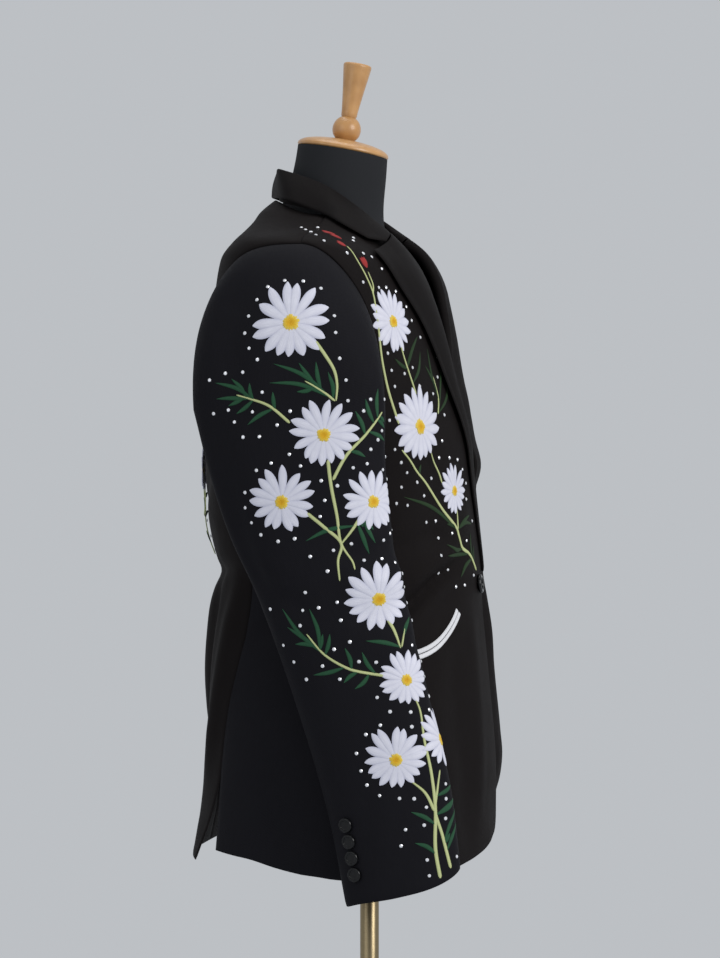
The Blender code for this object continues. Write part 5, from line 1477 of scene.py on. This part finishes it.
def dome(heap, surface, centre, outline, steps, ragged=None):
    """A closed round shape on the surface, from rows of a radius and a height, in metres."""
    angles = np.linspace(0, 2 * math.pi, steps, endpoint=False)
    ways = circle(angles) if ragged is None else circle(angles) * ragged[:, None]
    radii, heights = np.array(outline).T
    flat = radii[:, None, None] * ways[None]
    points, _, _, normals = surface.frames(surface.local(centre, flat))
    rings = points + normals * (CLOTH / 2 + heights)[:, None, None]
    count = len(outline) * steps
    index = np.arange(count).reshape(len(outline), steps)
    after = np.roll(index, -1, axis=1)
    faces = [np.stack([index[:-1], after[:-1], after[1:], index[1:]], axis=-1).reshape(-1, 4)]
    for row, tip in ((0, count), (-1, count + 1)):
        # A tip's face names the tip twice, and Heap.build drops the second
        faces.append(np.stack([index[row], after[row], np.full(steps, tip), np.full(steps, tip)], axis=-1))
    share = np.repeat(radii / radii.max(), steps)
    spoke = np.tile(np.linspace(0, 1, steps, endpoint=False), len(outline))
    shape = np.concatenate([np.stack([share, spoke], axis=-1), np.zeros((2, 2))])
    metres = np.concatenate([flat.reshape(-1, 2), np.zeros((2, 2))])
    tips = [rings[0].mean(axis=0), rings[-1].mean(axis=0)]
    heap.add(np.concatenate([rings.reshape(-1, 3), tips]), np.concatenate(faces), metres, shape)


class Spray:
    """The embroidery of one surface: flowers, stems, leaves and buds, and the stones between them."""

    def __init__(self, surface, seed):
        self.surface, self.draw = surface, np.random.default_rng(seed)
        self.heaps = {kind: Heap() for kind in THREADS}
        self.taken, self.rings = [], []

    def take(self, where, reach):
        """Keeps stones off these places, and this far round them."""
        self.taken += [(*place, reach) for place in np.reshape(where, (-1, 2))]

    def daisy(self, centre, radius):
        """Petals of uneven length round a yellow eye, from near its middle out to their tips."""
        count = int(round(PETALS + self.draw.uniform(-1, 1)))
        start = self.draw.uniform(0, 2 * math.pi)
        share = np.linspace(0, 1, PETAL_ROWS)
        for k in self.draw.permutation(count):
            angle = start + 2 * math.pi * (k + self.draw.uniform(-PETAL_UNEVEN, PETAL_UNEVEN)) / count
            length = radius * self.draw.uniform(*PETAL_LENGTHS) * (1 + PETAL_UPWARD * math.sin(angle))
            bend = self.draw.uniform(-PETAL_BEND, PETAL_BEND)
            along = radius * PETAL_START + (length - radius * PETAL_START) * share
            turn = angle + bend * share**2
            path = np.stack([np.cos(turn) * along, np.sin(turn) * along], axis=-1)
            wide = smooth_rows(PETAL_OUTLINE, share)[:, 0] * radius * self.draw.uniform(*PETAL_WIDTHS)
            lift = self.draw.uniform(0.0, PETAL_OVERLAP)
            path = self.surface.local(centre, path)
            ribbon(self.heaps["petal"], self.surface, path, wide, PETAL_RELIEF, PETAL_ACROSS, lift)
        ragged = 1.0 + self.draw.uniform(-EYE_RAGGED, EYE_RAGGED, EYE_STEPS)
        rows = [(share * radius, height) for share, height in EYE_OUTLINE]
        dome(self.heaps["centre"], self.surface, centre, rows, EYE_STEPS, ragged)
        self.take(centre, radius)
        around = np.arange(0, 2 * math.pi, STONE_PITCH / (radius + STONE_RING)) + start
        ring = circle(around) * (radius + STONE_RING)
        self.rings += list(self.surface.local(centre, ring))

    def stem(self, route, half_width, kind="stem", tapered=0.5):
        """A stem through (round, up) places, thinner at its far end."""
        path = even_path(route, STITCH_STEP)
        share = np.linspace(0, 1, len(path))
        wide = half_width * (1 - (1 - tapered) * share**2)
        wide[[0, -1]] *= STEM_END_WIDTH
        ribbon(self.heaps[kind], self.surface, path, wide, STEM_RELIEF)
        self.take(path[::TAKEN_STEP], half_width)
        way = unit(np.gradient(path, axis=0)) @ np.array([[0.0, 1.0], [-1.0, 0.0]])
        spots = slice(3, None, int(STONE_PITCH / STITCH_STEP))
        for side in (1, -1):
            self.rings += list((path + way * side * STONE_BESIDE)[spots])
        return path

    def leaf(self, root, tip, half_width=None, kind="leaf"):
        """A slender leaf from its root to its tip, a little curved."""
        root, tip = np.asarray(root, float), np.asarray(tip, float)
        way = tip - root
        side = np.array([-way[1], way[0]]) * self.draw.uniform(-LEAF_CURVE, LEAF_CURVE)
        path = even_path([root, (root + tip) / 2 + side, tip], STITCH_STEP)
        share = np.linspace(0, 1, len(path))
        half_width = LEAF_HALF_WIDTH if half_width is None else half_width
        wide = half_width * smooth_rows(LEAF_OUTLINE, share)[:, 0]
        ribbon(self.heaps[kind], self.surface, path, wide, LEAF_RELIEF)
        self.take(path[::TAKEN_STEP], half_width)

    def branch(self, route, half_width, tips):
        """A stem with leaves, each of which leaves it a little below the place nearest its tip."""
        path = self.stem(route, half_width)
        for tip in tips:
            away = np.linalg.norm(path - tip, axis=1)
            nearest = int(np.argmin(away))
            back = int(away[nearest] * LEAF_SLANT / STITCH_STEP)
            self.leaf(path[max(0, nearest - back)], tip)

    def bud(self, centre, length, angle):
        """Three short red petals side by side."""
        self.take(centre, length * BUD_CLEAR)
        for turn in BUD_TURNS:
            way = np.array([math.cos(angle + turn), math.sin(angle + turn)]) * length
            ends = self.surface.local(centre, np.array([way * 0.0, way]))
            self.leaf(ends[0], ends[1], length * BUD_WIDTH, "bud")

    def stones(self, low, high, allowed):
        """Small stones in rings round the flowers, on both sides of the stems, and then on an uneven net."""
        net = np.stack(np.meshgrid(*(np.arange(a, b, STONE_PITCH) for a, b in zip(low, high))), axis=-1)
        net[::2, :, 0] += STONE_PITCH / 2
        places = np.concatenate([np.array(self.rings).reshape(-1, 2), net.reshape(-1, 2)])
        places = places + self.draw.uniform(-STONE_JITTER, STONE_JITTER, places.shape)
        taken, set_in = np.array(self.taken), np.zeros((0, 2))
        for place in places:
            clear = (np.linalg.norm(taken[:, :2] - place, axis=1) - taken[:, 2]).min()
            apart = np.linalg.norm(set_in - place, axis=1).min(initial=1.0)
            inside = (low[0] < place[0] < high[0]) and (low[1] < place[1] < high[1])
            fits = STONE_CLEAR < clear < STONE_REACH and apart >= STONE_APART
            if not fits or not inside or not allowed(place):
                continue
            set_in = np.concatenate([set_in, [place]])
            radius = STONE_RADIUS * self.draw.uniform(*STONE_SIZES)
            rows = [(r * radius, h * radius) for r, h in STONE_OUTLINE]
            dome(self.heaps["stone"], self.surface, place, rows, STONE_SIDES)

    def build(self, name, finishes):
        for kind, heap in self.heaps.items():
            if heap.count:
                angle = SHARP_STONE_ANGLE if kind == "stone" else SOFT_THREAD_ANGLE
                heap.build(f"{kind}_{name}", finishes[kind], THREADS[kind], angle)


def even_path(points, step):
    """A smooth path through (round, up) points, at even steps."""
    points = np.asarray(points, float)
    table = np.column_stack([np.arange(len(points)), points])
    fine = smooth_rows(table, np.linspace(0, len(points) - 1, 16 * len(points)))
    length = length_along(fine)
    even = np.linspace(0, length[-1], max(5, int(length[-1] / step)))
    return np.stack([np.interp(even, length, fine[:, k]) for k in (0, 1)], axis=-1)


def sew_picture(spray, places, daisies, branches, buds):
    """Sews what a picture lists: flowers, branches and buds, each at places of the surface."""
    for branch in branches:
        tips = places(branch.leaf_tips) if branch.leaf_tips else []
        spray.branch(places(branch.route), branch.width / 2, tips)
    for bud in buds:
        spray.bud(places([(bud.across, bud.down)])[0], bud.length, math.radians(bud.angle))
    for daisy in daisies:
        spray.daisy(places([(daisy.across, daisy.down)])[0], daisy.radius)


def sleeve_chart(side):
    angles = np.linspace(*SLEEVE_CHART_ANGLES)
    grid = side.place_sleeve(sleeve_grid(angles, HEAD_ROWS, ARM_ROWS))[::-1]
    return Surface(grid, length_along(grid[:, len(angles) // 2]), len(angles) // 2, outward(side))


def body_chart(side):
    turns, rises = np.linspace(*BODY_CHART_TURNS), np.arange(HEM_RISE, NECK_RISE, CHART_STEP)
    turn, rise = np.meshgrid(turns, rises)
    grid = side.turn_over(body_point(turn, rise, side.lift_at(body_base(turn, rise))))
    return Surface(grid, rises, int(np.argmin(np.abs(turns))), outward(side))


def outward(side):
    return 1.0 if side.name == "right" else -1.0


def build_embroidery(finishes):
    right = both_sides()[0]
    sleeve_right, front_right = sleeve_chart(right), body_chart(right)
    for seed, side in enumerate(both_sides()):
        spray = Spray(sleeve_chart(side), SLEEVE_SEED + seed)
        sew_picture(spray, sleeve_right.seen, SLEEVE_DAISIES, SLEEVE_BRANCHES, [])
        spray.stones(*SLEEVE_STONE_AREA, lambda place: True)
        spray.build(f"sleeve_{side.name}", finishes)
        body = body_chart(side)
        spray = Spray(body, FRONT_SEED + seed)
        shift = LEFT_SPRAY_SHIFT if side.name == "left" else 0.0
        sew_picture(
            spray, lambda pixels, by=shift: front_right.seen(pixels) + by, FRONT_DAISIES, FRONT_BRANCHES, BUDS
        )
        spray.stones(*FRONT_STONE_AREA, clear_of(body, side))
        spray.build(f"front_{side.name}", {**finishes, "leaf": finishes["dim_leaf"]})
        spray = Spray(body, BACK_SEED + seed)
        sew_picture(spray, back_places, BACK_DAISIES, BACK_BRANCHES, BACK_BUDS)
        clear = clear_of(body, side)
        spray.stones(*BACK_STONE_AREA, lambda place: clear(place) and near_back_middle(body, place))
        spray.build(f"back_{side.name}", finishes)


def clear_of(body, side):
    """Tells whether a place of the body lies clear of its pocket, lapel, collar and armhole."""
    seam = armhole(np.arange(0.0, 360.0, 3.0))
    seam = body_point(seam[:, 0], seam[:, 1], side.lift_at(body_base(seam[:, 0], seam[:, 1])))
    grids = welt_grid(1, side.lift_at), lapel_grid(side.lift_at), collar_grid(COLLAR_HALF_ROWS)
    sewn_on = [seam] + [grid[::CLEAR_STEP, ::CLEAR_STEP].reshape(-1, 3) for grid in grids]
    solid = side.turn_over(np.concatenate(sewn_on))
    return lambda place: np.linalg.norm(solid - body.at(place), axis=1).min() > STONE_KEEPS_OFF


def near_back_middle(body, place):
    return abs(body.at(place)[0]) < BACK_STONES_WITHIN


def back_places(turns_and_rises):
    """(round, up) places on the body of these turns and rises."""
    found = []
    for turn, rise in turns_and_rises:
        ring = body_base(np.linspace(0.0, turn, 90), np.full(90, rise))
        found.append((-length_along(ring)[-1], rise))
    return np.array(found)


def camera_view():
    """The photograph's camera: level, at the garment's height, a little ahead of its right side."""
    data = bpy.data.cameras.new("camera")
    data.sensor_width = SENSOR
    data.lens = FOCAL_PIXELS / PHOTO_HEIGHT * SENSOR
    data.shift_x = -(AXIS_PIXEL - PHOTO_WIDTH / 2) / PHOTO_HEIGHT
    made = linked("camera", data)
    made.location = camera_place()
    made.rotation_euler = (math.radians(90), 0, math.radians(VIEW_YAW - 90))
    bpy.context.scene.camera = made


def area_light(name, place, aim, size, power, colour):
    data = bpy.data.lights.new(name, "AREA")
    data.shape, data.size, data.energy, data.color = "SQUARE", size, power, colour
    made = linked(name, data)
    made.location = place
    made.rotation_euler = (Vector(aim) - Vector(place)).to_track_quat("-Z", "Y").to_euler()


def studio():
    world = bpy.data.worlds.new("studio")
    world.use_nodes = True
    background = world.node_tree.nodes["Background"]
    background.inputs["Color"].default_value = (*BACKDROP, 1.0)
    background.inputs["Strength"].default_value = 1.0
    bpy.context.scene.world = world
    bpy.context.scene.view_settings.view_transform = "Standard"
    for lamp in LAMPS:
        area_light(*lamp)
    disc = bpy.data.meshes.new("floor")
    angles = np.radians(np.arange(0, 360, 4))
    rim = np.stack([np.cos(angles), np.sin(angles), np.zeros_like(angles)], axis=-1) * FLOOR_RADIUS
    disc.from_pydata(rim.tolist(), [], [tuple(range(len(rim)))])
    disc.materials.append(Finish("floor", FLOOR_COLOUR, FLOOR_ROUGHNESS).material)
    made = linked("floor", disc)


class Finish:
    """A material being built: a principled shader, its UV map, and small helpers for nodes."""

    def __init__(self, name, colour, roughness, **others):
        self.material = bpy.data.materials.new(name)
        self.material.use_nodes = True
        self.tree = self.material.node_tree
        self.shader = self.tree.nodes["Principled BSDF"]
        self.set(**{"Base Color": (*colour, 1.0), "Roughness": roughness}, **others)
        self.colour = colour

    def set(self, **values):
        for socket, value in values.items():
            self.shader.inputs[socket.replace("_", " ")].default_value = value

    def node(self, kind, inputs=(), **settings):
        made = self.tree.nodes.new(kind)
        for setting, value in settings.items():
            setattr(made, setting, value)
        for socket, value in dict(inputs).items():
            if isinstance(value, bpy.types.NodeSocket):
                self.tree.links.new(value, made.inputs[socket])
            else:
                made.inputs[socket].default_value = value
        return made

    def metres(self, scale=(1.0, 1.0, 1.0), turn=0.0, layer="metres"):
        """The cloth's own flat places, stretched and turned."""
        uv = self.node("ShaderNodeUVMap", uv_map=layer)
        inputs = {"Vector": uv.outputs["UV"], "Rotation": (0, 0, turn), "Scale": scale}
        return self.node("ShaderNodeMapping", inputs).outputs["Vector"]

    def noise(self, vector, scale, detail=2.0):
        inputs = {"Vector": vector, "Scale": scale, "Detail": detail}
        return self.node("ShaderNodeTexNoise", inputs).outputs["Fac"]

    def wave(self, vector, scale, distortion=0.0):
        inputs = {"Vector": vector, "Scale": scale, "Distortion": distortion, "Detail": 1.0}
        return self.node("ShaderNodeTexWave", inputs).outputs["Fac"]

    def maths(self, operation, first, second):
        return self.node("ShaderNodeMath", {0: first, 1: second}, operation=operation).outputs[0]

    def vary(self, factor, low, high, socket="Base Color"):
        """Sets a socket between two values by a factor between 0 and 1."""
        if np.ndim(low) == 0:
            inputs = {"Value": factor, "To Min": low, "To Max": high}
            made = self.node("ShaderNodeMapRange", inputs).outputs["Result"]
        else:
            ramp = self.node("ShaderNodeValToRGB", {"Fac": factor})
            ramp.color_ramp.elements[0].color = (*low, 1.0)
            ramp.color_ramp.elements[1].color = (*high, 1.0)
            made = ramp.outputs["Color"]
        self.tree.links.new(made, self.shader.inputs[socket])
        return made

    def bump(self, *layers):
        """Layers of relief: a height from 0 to 1, and its depth in metres."""
        normal = None
        for height, depth in layers:
            inputs = {"Height": height, "Distance": depth, "Strength": 1.0}
            if normal:
                inputs["Normal"] = normal
            normal = self.node("ShaderNodeBump", inputs).outputs["Normal"]
        self.tree.links.new(normal, self.shader.inputs["Normal"])
        return self


def cloth_finish(name, dark, light, roughness):
    """A smooth, close-woven wool: fine diagonal ribs and soft unevenness."""
    made = Finish(name, dark, roughness)
    made.set(Specular_IOR_Level=CLOTH_SHINE)
    place = made.metres()
    ribs = made.wave(made.metres(turn=math.radians(TWILL_SLANT)), TWILL_PER_METRE)
    cloudy = made.noise(place, 26.0, 3.0)
    slub = made.noise(made.metres(scale=(900.0, 60.0, 1.0)), 1.0, 2.0)
    made.vary(made.maths("MULTIPLY", made.maths("ADD", ribs, slub), 0.5), dark, light)
    made.vary(cloudy, roughness - 0.07, roughness + 0.08, "Roughness")
    return made.bump((cloudy, 0.0011), (slub, 0.00006), (ribs, 0.00012)).material


def looks():
    """All materials, by name."""
    made = {key: cloth_finish(*look) for key, look in CLOTH_LOOKS.items()}
    satin = Finish("piping_satin", (0.80, 0.80, 0.82), 0.36, Sheen_Weight=0.3)
    threads = satin.wave(satin.metres(turn=math.radians(45)), 420.0, 0.6)
    satin.vary(threads, (0.66, 0.66, 0.69), (0.84, 0.84, 0.86))
    made["piping"] = satin.bump((threads, 0.00008)).material
    shiny = Finish("button_gloss", (0.004, 0.004, 0.0045), 0.13, Specular_IOR_Level=0.3)
    made["button"] = shiny.bump((shiny.noise(shiny.metres(), 320.0), 0.00005)).material
    jersey = Finish("form_jersey", (0.020, 0.021, 0.024), 0.80, Specular_IOR_Level=0.1)
    knit = jersey.wave(jersey.metres(), 330.0, 0.8)
    rows = jersey.wave(jersey.metres(turn=math.radians(90)), 260.0, 0.8)
    jersey.vary(knit, (0.016, 0.017, 0.019), (0.026, 0.027, 0.030))
    made["jersey"] = jersey.bump((knit, 0.00010), (rows, 0.00008)).material
    made["wood"] = wood_finish()
    brass = Finish("stand_brass", (0.30, 0.23, 0.13), 0.30, Metallic=1.0)
    brushed = brass.noise(brass.metres(scale=(1.0, 60.0, 1.0)), 30.0, 3.0)
    brass.vary(brushed, (0.22, 0.17, 0.10), (0.36, 0.29, 0.17))
    made["brass"] = brass.bump((brushed, 0.00004)).material
    return made


def wood_finish():
    wood = Finish("form_wood", (0.52, 0.27, 0.09), 0.38, Coat_Weight=0.35, Coat_Roughness=0.2)
    place = wood.node("ShaderNodeTexCoord").outputs["Object"]
    inputs = {"Vector": place, "Scale": GRAIN_SCALE}
    stretched = wood.node("ShaderNodeMapping", inputs).outputs["Vector"]
    grain = wood.noise(stretched, 1.4, 4.0)
    wood.vary(grain, (0.34, 0.155, 0.045), (0.66, 0.37, 0.14))
    return wood.bump((grain, 0.0002)).material


def turned_points(outline, steps):
    """Rings of points round an upright axis, from an outline of radius and height."""
    angles = np.radians(np.linspace(0, 360, steps, endpoint=False))
    ways, rows = circle(angles), outline[1:-1]
    return np.array([np.column_stack([ways * row.radius, np.full(steps, row.height)]) for row in rows])


def closed_rings(name, rings, finish, low_tip=None, high_tip=None, smooth_angle=50.0):
    """A closed body through rings of points, with a tip at its bottom and its top."""
    rows, steps = rings.shape[:2]
    low_tip = rings[0].mean(axis=0) if low_tip is None else low_tip
    high_tip = rings[-1].mean(axis=0) if high_tip is None else high_tip
    points = np.concatenate([rings.reshape(-1, 3), [low_tip, high_tip]])
    faces = []
    for i in range(rows - 1):
        for j in range(steps):
            after = (j + 1) % steps
            faces.append((i * steps + j, i * steps + after, (i + 1) * steps + after, (i + 1) * steps + j))
    for j in range(steps):
        after = (j + 1) % steps
        faces.append((after, j, rows * steps, rows * steps))
        faces.append(((rows - 1) * steps + j, (rows - 1) * steps + after, rows * steps + 1, rows * steps + 1))
    girth = np.linalg.norm(np.roll(rings, -1, axis=1) - rings, axis=2)
    around = np.concatenate([np.zeros((rows, 1)), np.cumsum(girth, axis=1)[:, :-1]], axis=1)
    up = np.concatenate([[0], np.cumsum(np.linalg.norm(np.diff(rings, axis=0), axis=2).mean(axis=1))])
    uv = np.stack([around, np.repeat(up[:, None], steps, axis=1)], axis=-1).reshape(-1, 2)
    uv = np.concatenate([uv, [[0, up[0]], [0, up[-1]]]])
    return mesh_object(name, points, faces, finish, {"metres": uv}, smooth_angle)


def place_along(made, origin, axis):
    """Stands a turned piece on a point, with its axis along a direction."""
    turn = Vector((0, 0, 1)).rotation_difference(Vector(axis)).to_matrix().to_4x4()
    made.data.transform(Matrix.Translation(origin) @ turn)
    return made


def finer(outline, step):
    """The outline's points joined by a smooth run of shorter lengths, its corners kept."""
    radius, height = (np.array([getattr(p, k) for p in outline]) for k in ("radius", "height"))
    length = np.concatenate([[0], np.cumsum(np.hypot(np.diff(radius), np.diff(height)))])
    at = np.unique(np.concatenate([length, np.arange(0, length[-1], step)]))
    bent = smooth_rows(np.column_stack([length, radius, height]), at)
    return [Outline(float(max(r, 0.0)), float(max(h, 0.0))) for r, h in bent]


def build_form(made):
    turns = np.linspace(0, 360, FORM_STEPS, endpoint=False)
    spans = zip(FORM_RISES, FORM_RISES[1:])
    rises = np.concatenate([np.linspace(low, high, FORM_ROWS_BETWEEN + 1)[:-1] for low, high in spans])
    rings = [form_ring(turns, rise) for rise in [*rises, FORM_RISES[-1]]]
    at = np.linspace(0, len(NECK_RINGS) - 1, NECK_ROWS)
    necks = smooth_rows([(k, *ring) for k, ring in enumerate(NECK_RINGS)], at)
    necks = [neck_ring_points(NeckRing(*row), turns) for row in necks]
    rings = np.array(form_bottom_rings(rings[0]) + rings + necks)
    torso = closed_rings("dress_form", rings, made["jersey"])
    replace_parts(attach(torso, "root"), "form_torso")
    axis = neck_axis()
    neck = NECK_RINGS[-1]
    seat = np.array([0, neck.middle_y, neck.middle_z]) + axis * SEAM_GAP
    rows = turned_points(finer(CAP_OUTLINE, CAP_FINENESS), CAP_STEPS)
    cap = place_along(closed_rings("neck_cap", rows, made["wood"]), seat, axis)
    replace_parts(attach(cap, "root"), "form_cap")
    rows = turned_points(finial_outline(), FINIAL_STEPS)
    top = place_along(closed_rings("finial", rows, made["wood"]), seat + axis * (CAP_HEIGHT + SEAM_GAP), axis)
    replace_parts(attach(top, "root"), "form_finial")


def thread_finish(name, look):
    """Satin stitches: fine ridges of thread, with painted shade darkening the shape's sides."""
    made = Finish(name, look.light, THREAD_ROUGHNESS, Specular_IOR_Level=look.shine)
    ridges = made.noise(made.metres(scale=look.ways), 1.0, 2.0)
    soft = made.noise(made.metres(), 90.0, 2.0)
    split = made.node("ShaderNodeSeparateXYZ", {"Vector": made.metres(layer="shape")})
    off_middle = made.maths("ABSOLUTE", made.maths("SUBTRACT", split.outputs["Y"], 0.5), 0.0)
    side = made.maths("POWER", made.maths("MULTIPLY", off_middle, 2.0), 3.0)
    threads = made.maths("ADD", made.maths("MULTIPLY", ridges, 0.7), made.maths("MULTIPLY", soft, 0.3))
    colour = made.vary(threads, look.dark, look.light)
    # Towards the shape's sides the thread colour is mixed with the look's side colour: painted shade
    mixed = made.node("ShaderNodeMix", data_type="RGBA")
    made.tree.links.new(made.maths("MULTIPLY", side, 0.75), mixed.inputs["Factor"])
    made.tree.links.new(colour, mixed.inputs["A"])
    mixed.inputs["B"].default_value = (*look.edge, 1.0)
    made.tree.links.new(mixed.outputs["Result"], made.shader.inputs["Base Color"])
    return made.bump((ridges, 0.00018)).material


def eye_finish():
    """A daisy's eye: yellow stitches that run outwards, round a small orange ring."""
    made = Finish("centre_thread", (0.80, 0.50, 0.05), 0.6, Specular_IOR_Level=0.25)
    split = made.node("ShaderNodeSeparateXYZ", {"Vector": made.metres(layer="shape")})
    spokes = made.noise(made.metres(scale=(6.0, 46.0, 1.0), layer="shape"), 1.0, 2.0)
    ramp = made.node("ShaderNodeValToRGB", {"Fac": split.outputs["X"]})
    for place, colour in EYE_COLOURS[1:-1]:
        ramp.color_ramp.elements.new(place)
    for element, (place, colour) in zip(ramp.color_ramp.elements, EYE_COLOURS):
        element.position, element.color = place, (*colour, 1.0)
    mixed = made.node("ShaderNodeMix", data_type="RGBA", blend_type="MULTIPLY")
    shade = made.node("ShaderNodeMapRange", {"Value": spokes, "To Min": 0.55, "To Max": 1.25})
    made.tree.links.new(ramp.outputs["Color"], mixed.inputs["A"])
    made.tree.links.new(shade.outputs["Result"], mixed.inputs["B"])
    mixed.inputs["Factor"].default_value = 1.0
    made.tree.links.new(mixed.outputs["Result"], made.shader.inputs["Base Color"])
    return made.bump((spokes, 0.0003)).material


def thread_looks():
    stone = Finish("stone", (0.92, 0.93, 0.96), 0.12, Metallic=0.35, Specular_IOR_Level=0.9)
    facets = stone.noise(stone.metres(), 900.0)
    stone.vary(facets, (0.70, 0.71, 0.75), (0.97, 0.97, 1.0))
    return {
        "petal": thread_finish("petal_thread", PETAL_LOOK),
        "centre": eye_finish(),
        "stem": thread_finish("stem_thread", STEM_LOOK),
        "leaf": thread_finish("leaf_thread", LEAF_LOOK),
        "dim_leaf": thread_finish("dim_leaf_thread", DIM_LEAF_LOOK),
        "bud": thread_finish("bud_thread", BUD_LOOK),
        "stone": stone.material,
    }


def button_piece(name, radius, thick, finish):
    """A dished button with a raised rim."""
    outline = [Outline(p.radius * radius, p.height * thick) for p in finer(BUTTON_OUTLINE, BUTTON_FINENESS)]
    return closed_rings(name, turned_points(outline, BUTTON_STEPS), finish)


def build_buttons(finish):
    turn = float(turn_at(BUTTON_RISE, BUTTON_PAST_MIDDLE))
    lift = float(right_front_lift(body_base(turn, BUTTON_RISE))) + CLOTH / 2 + SEAM_GAP
    point = body_point(turn, BUTTON_RISE, lift + BUTTON_SEAT)
    made = button_piece("closing_button", FRONT_BUTTON_RADIUS, FRONT_BUTTON_THICK, finish)
    place_along(made, point, body_normal(turn, BUTTON_RISE))
    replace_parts(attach(made, "root"), "front_button")
    for k in range(CUFF_BUTTON_COUNT):
        point, normal = sleeve_surface_frame(CUFF_BUTTON_ANGLE, CUFF_BUTTON_LOWEST + k * CUFF_BUTTON_PITCH)
        point = point + normal * (CLOTH / 2 + SEAM_GAP + CUFF_BUTTON_SEAT)
        for side, place, turn_over in (("right", np.asarray, np.asarray), ("left", left_sleeve, mirrored)):
            name = f"sleeve_button_{side}_{k + 1}"
            made = button_piece(name, CUFF_BUTTON_RADIUS, CUFF_BUTTON_THICK, finish)
            place_along(made, place(point), turn_over(normal))
            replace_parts(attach(made, "root"), f"cuff_button_{side}_{k + 1}")


def build_stand(made):
    rows = turned_points(finer(BASE_OUTLINE, BASE_FINENESS), BASE_STEPS)
    base = closed_rings("round_base", rows, made["brass"])
    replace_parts(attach(base, "root"), "stand_base")
    low, high = SOCKET_HEIGHT + SEAM_GAP, FORM_BOTTOM - SEAM_GAP
    heights = [low, low + POLE_EDGE, (low + high) / 2, high - POLE_EDGE, high]
    widths = [POLE_RADIUS - POLE_EDGE, POLE_RADIUS, POLE_RADIUS, POLE_RADIUS, POLE_RADIUS - POLE_EDGE]
    outline = [Outline(0, low), *(Outline(w, h) for w, h in zip(widths, heights)), Outline(0, high)]
    pole = closed_rings("pole", turned_points(outline, POLE_STEPS), made["brass"])
    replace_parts(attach(pole, "root"), "stand_pole")


def main():
    camera_view()
    studio()
    made = looks()
    build_cloth(made["suiting"], made["sleeve"], made["lapel"])
    build_welts(made["piping"])
    build_buttons(made["button"])
    build_form(made)
    build_stand(made)
    build_embroidery(thread_looks())


main()
